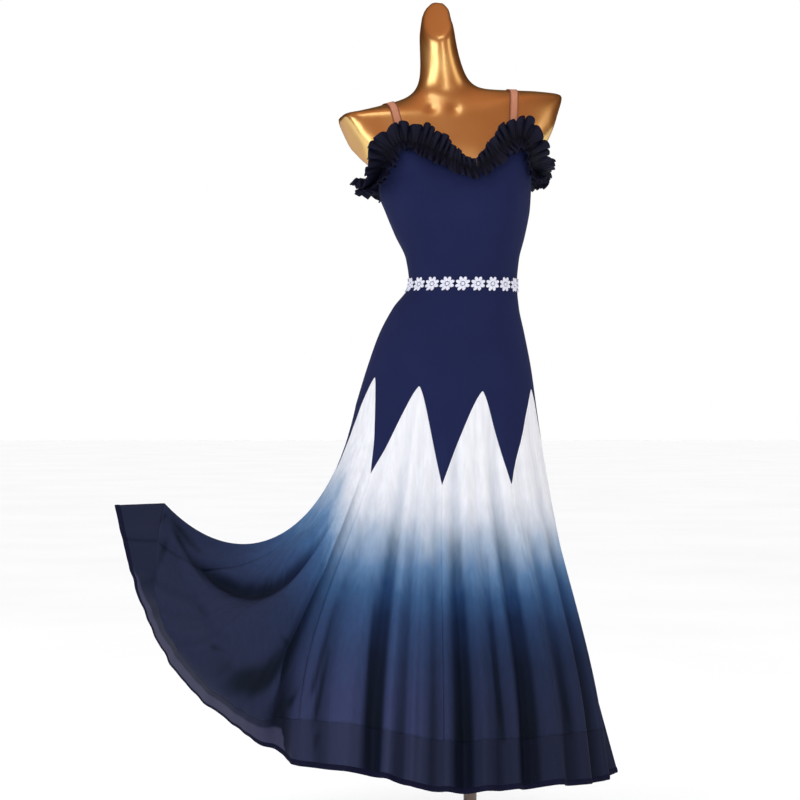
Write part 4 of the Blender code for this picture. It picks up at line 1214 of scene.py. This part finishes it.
# The neckline ruffle: one strip of near-black navy organza a side, gathered and stitched down
# its middle along the neckline, both raw-cut edges standing free in tight uneven flutes.
RUFFLE = np.array((
    # share of the way to the centre back, widths above and below, flare above and below, wave
    (0.00, 0.017, 0.020, 16, 16, 0.5),
    (0.06, 0.022, 0.024, 15, 15, 0.6),
    (0.14, 0.031, 0.030, 14, 14, 0.9),
    (0.25, 0.038, 0.028, 16, 15, 0.9),
    (0.37, 0.040, 0.024, 30, 22, 0.9),
    (0.50, 0.038, 0.031, 64, 65, 1.4),
    (0.63, 0.043, 0.039, 74, 74, 1.5),
    (0.75, 0.038, 0.036, 56, 56, 1.3),
    (1.00, 0.034, 0.032, 18, 18, 0.9),
))
V_ANGLE = 276.0
RUFFLE_PITCH = 0.0128
RUFFLE_STAND = 0.0042
RUFFLE_SWING = 0.0058
RUFFLE_THICK = 0.0004
FLUTE_COLUMNS = 16
FREE_ROWS = 9
FLUTE_SPREAD = 0.62
FLUTE_REST = 0.14
SLIT = 0.4
BACK_GAP = 0.0020
SEAM_DROP = 0.10
SEAM_PROBE = 0.06
LINE_PASSES = 90
UP_PASSES = 1300
V_REACH = 0.16
V_UP = (-0.30, 0.0, 0.95)
PLEAT = 0.0012
PLEAT_START = 0.7
VALLEY_LOSS = 0.16
DRIFT_WAVES = ((1.6, 0.83, 0.0), (1.0, 2.1, 1.0))  # size, rate a flute, start
SIZE_WAVES = ((0.30, 1.31, 0.0), (0.25, 2.9, 1.0))
REACH_WAVES = ((0.09, 0.9, 0.5), (0.09, 2.3, 0.0))
LOWER_WAVES = ((0.9, 0.61, 0.0),)
LOWER_START = 2.3


def gathered_organza(tree):
    """Crisp sheer organza, several layers deep: near black, a greyed violet where one is lit."""
    cloud = noise(tree, scale=60.0, detail=3.0)
    amount = reckon(tree, "MULTIPLY", mark(tree, "free"), cloud)
    return {"Base Color": blend(tree, amount, "#070917", "#171A33")}


def wander(values, step, waves):
    """Values with waves of a size, a rate a flute and a start added along the gathers."""
    for size, rate, start in waves:
        values = values + size * np.sin(step * rate + start)
    return values


def ruffle_grid(turn):
    """Fluted ruffle of one side, upper edge first, and how free each row is."""
    dense = np.linspace(V_ANGLE + SLIT * turn, 90.0 + (360.0 if turn > 0 else 0.0), 150)
    rows = np.array([neckline_row(a) for a in dense]) - SEAM_DROP
    line = np.empty((len(dense), 3))
    out = np.empty_like(line)
    for k, (angle, row) in enumerate(zip(dense, rows)):
        near = body_ring([angle - 1.0, angle, angle + 1.0], row)
        above = body_ring([angle], row + SEAM_PROBE)[0]
        below = body_ring([angle], row - SEAM_PROBE)[0]
        line[k] = near[1]
        out[k] = np.cross(below - above, near[2] - near[0])
    out = unit(out)
    length = distances(line)
    flutes = int(round(length[-1] / RUFFLE_PITCH))
    goal = np.linspace(0.0, length[-1] - BACK_GAP, flutes * FLUTE_COLUMNS + 1)
    share = goal / length[-1]
    line = at_distances(line, length, goal)
    out = unit(at_distances(out, length, goal))
    even_out(line, LINE_PASSES)
    even_out(out, LINE_PASSES, directions=True)
    along = unit(np.gradient(line, axis=0))
    up = unit(np.cross(out, along)) * turn
    even_out(up, UP_PASSES, directions=True)
    near = np.clip(1 - share / V_REACH, 0.0, 1.0)[:, None]
    up = unit(up * (1 - near) + np.array(V_UP) * near)
    up = unit(up - out * (up * out).sum(1, keepdims=True))
    upper, lower, upper_flare, lower_flare, wave = (
        curve(RUFFLE[:, 0], values, share) for values in RUFFLE.T[1:])
    step = goal / RUFFLE_PITCH
    phase = wander(2 * math.pi * step, step, DRIFT_WAVES)
    uneven = wander(1.0, step, SIZE_WAVES)
    long = wander(1.0, step, REACH_WAVES)
    grid = []
    free = []
    for half, widths, flares in ((1, upper, upper_flare), (-1, lower, lower_flare)):
        flare = np.radians(flares)[:, None]
        way = up * half * np.cos(flare) + out * np.sin(flare)
        side = out * np.cos(flare) - up * half * np.sin(flare)
        angle = phase + (0.0 if half > 0 else wander(LOWER_START, step, LOWER_WAVES))
        for share_out in np.linspace(1.0, 0.0, FREE_ROWS, endpoint=half < 0):
            size = (FLUTE_REST + (1 - FLUTE_REST) * share_out) * RUFFLE_SWING * wave * uneven
            pleat = PLEAT * (1 - share_out) * np.sin(3 * phase + PLEAT_START)
            lean = -FLUTE_SPREAD * np.cos(angle) * share_out
            valley = (1 - np.sin(angle)) / 2
            inner = 1.0 - VALLEY_LOSS * share_out ** 2 * valley ** 2
            reach = widths * long * share_out * inner
            row = (line + out * RUFFLE_STAND + way * reach[:, None]
                   + side * (size * np.sin(angle) + pleat)[:, None]
                   + along * (size * lean)[:, None])
            grid.append(row)
            free.append(np.full(len(goal), share_out))
    order = list(range(FREE_ROWS)) + list(range(len(grid) - 1, FREE_ROWS - 1, -1))
    return np.array(grid)[order], np.array(free)[order]


organza = new_material("gathered_navy_organza", gathered_organza, "#090C1C", 0.55, specular=0.12)
for side, turn in (("left", -1), ("right", 1)):
    grid, free = (part[:, ::turn] for part in ruffle_grid(turn))
    ruffle = cloth_mesh("ruffle_%s_organza" % side, grid, RUFFLE_THICK, organza, {"free": free})
    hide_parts("ruffle_" + side)
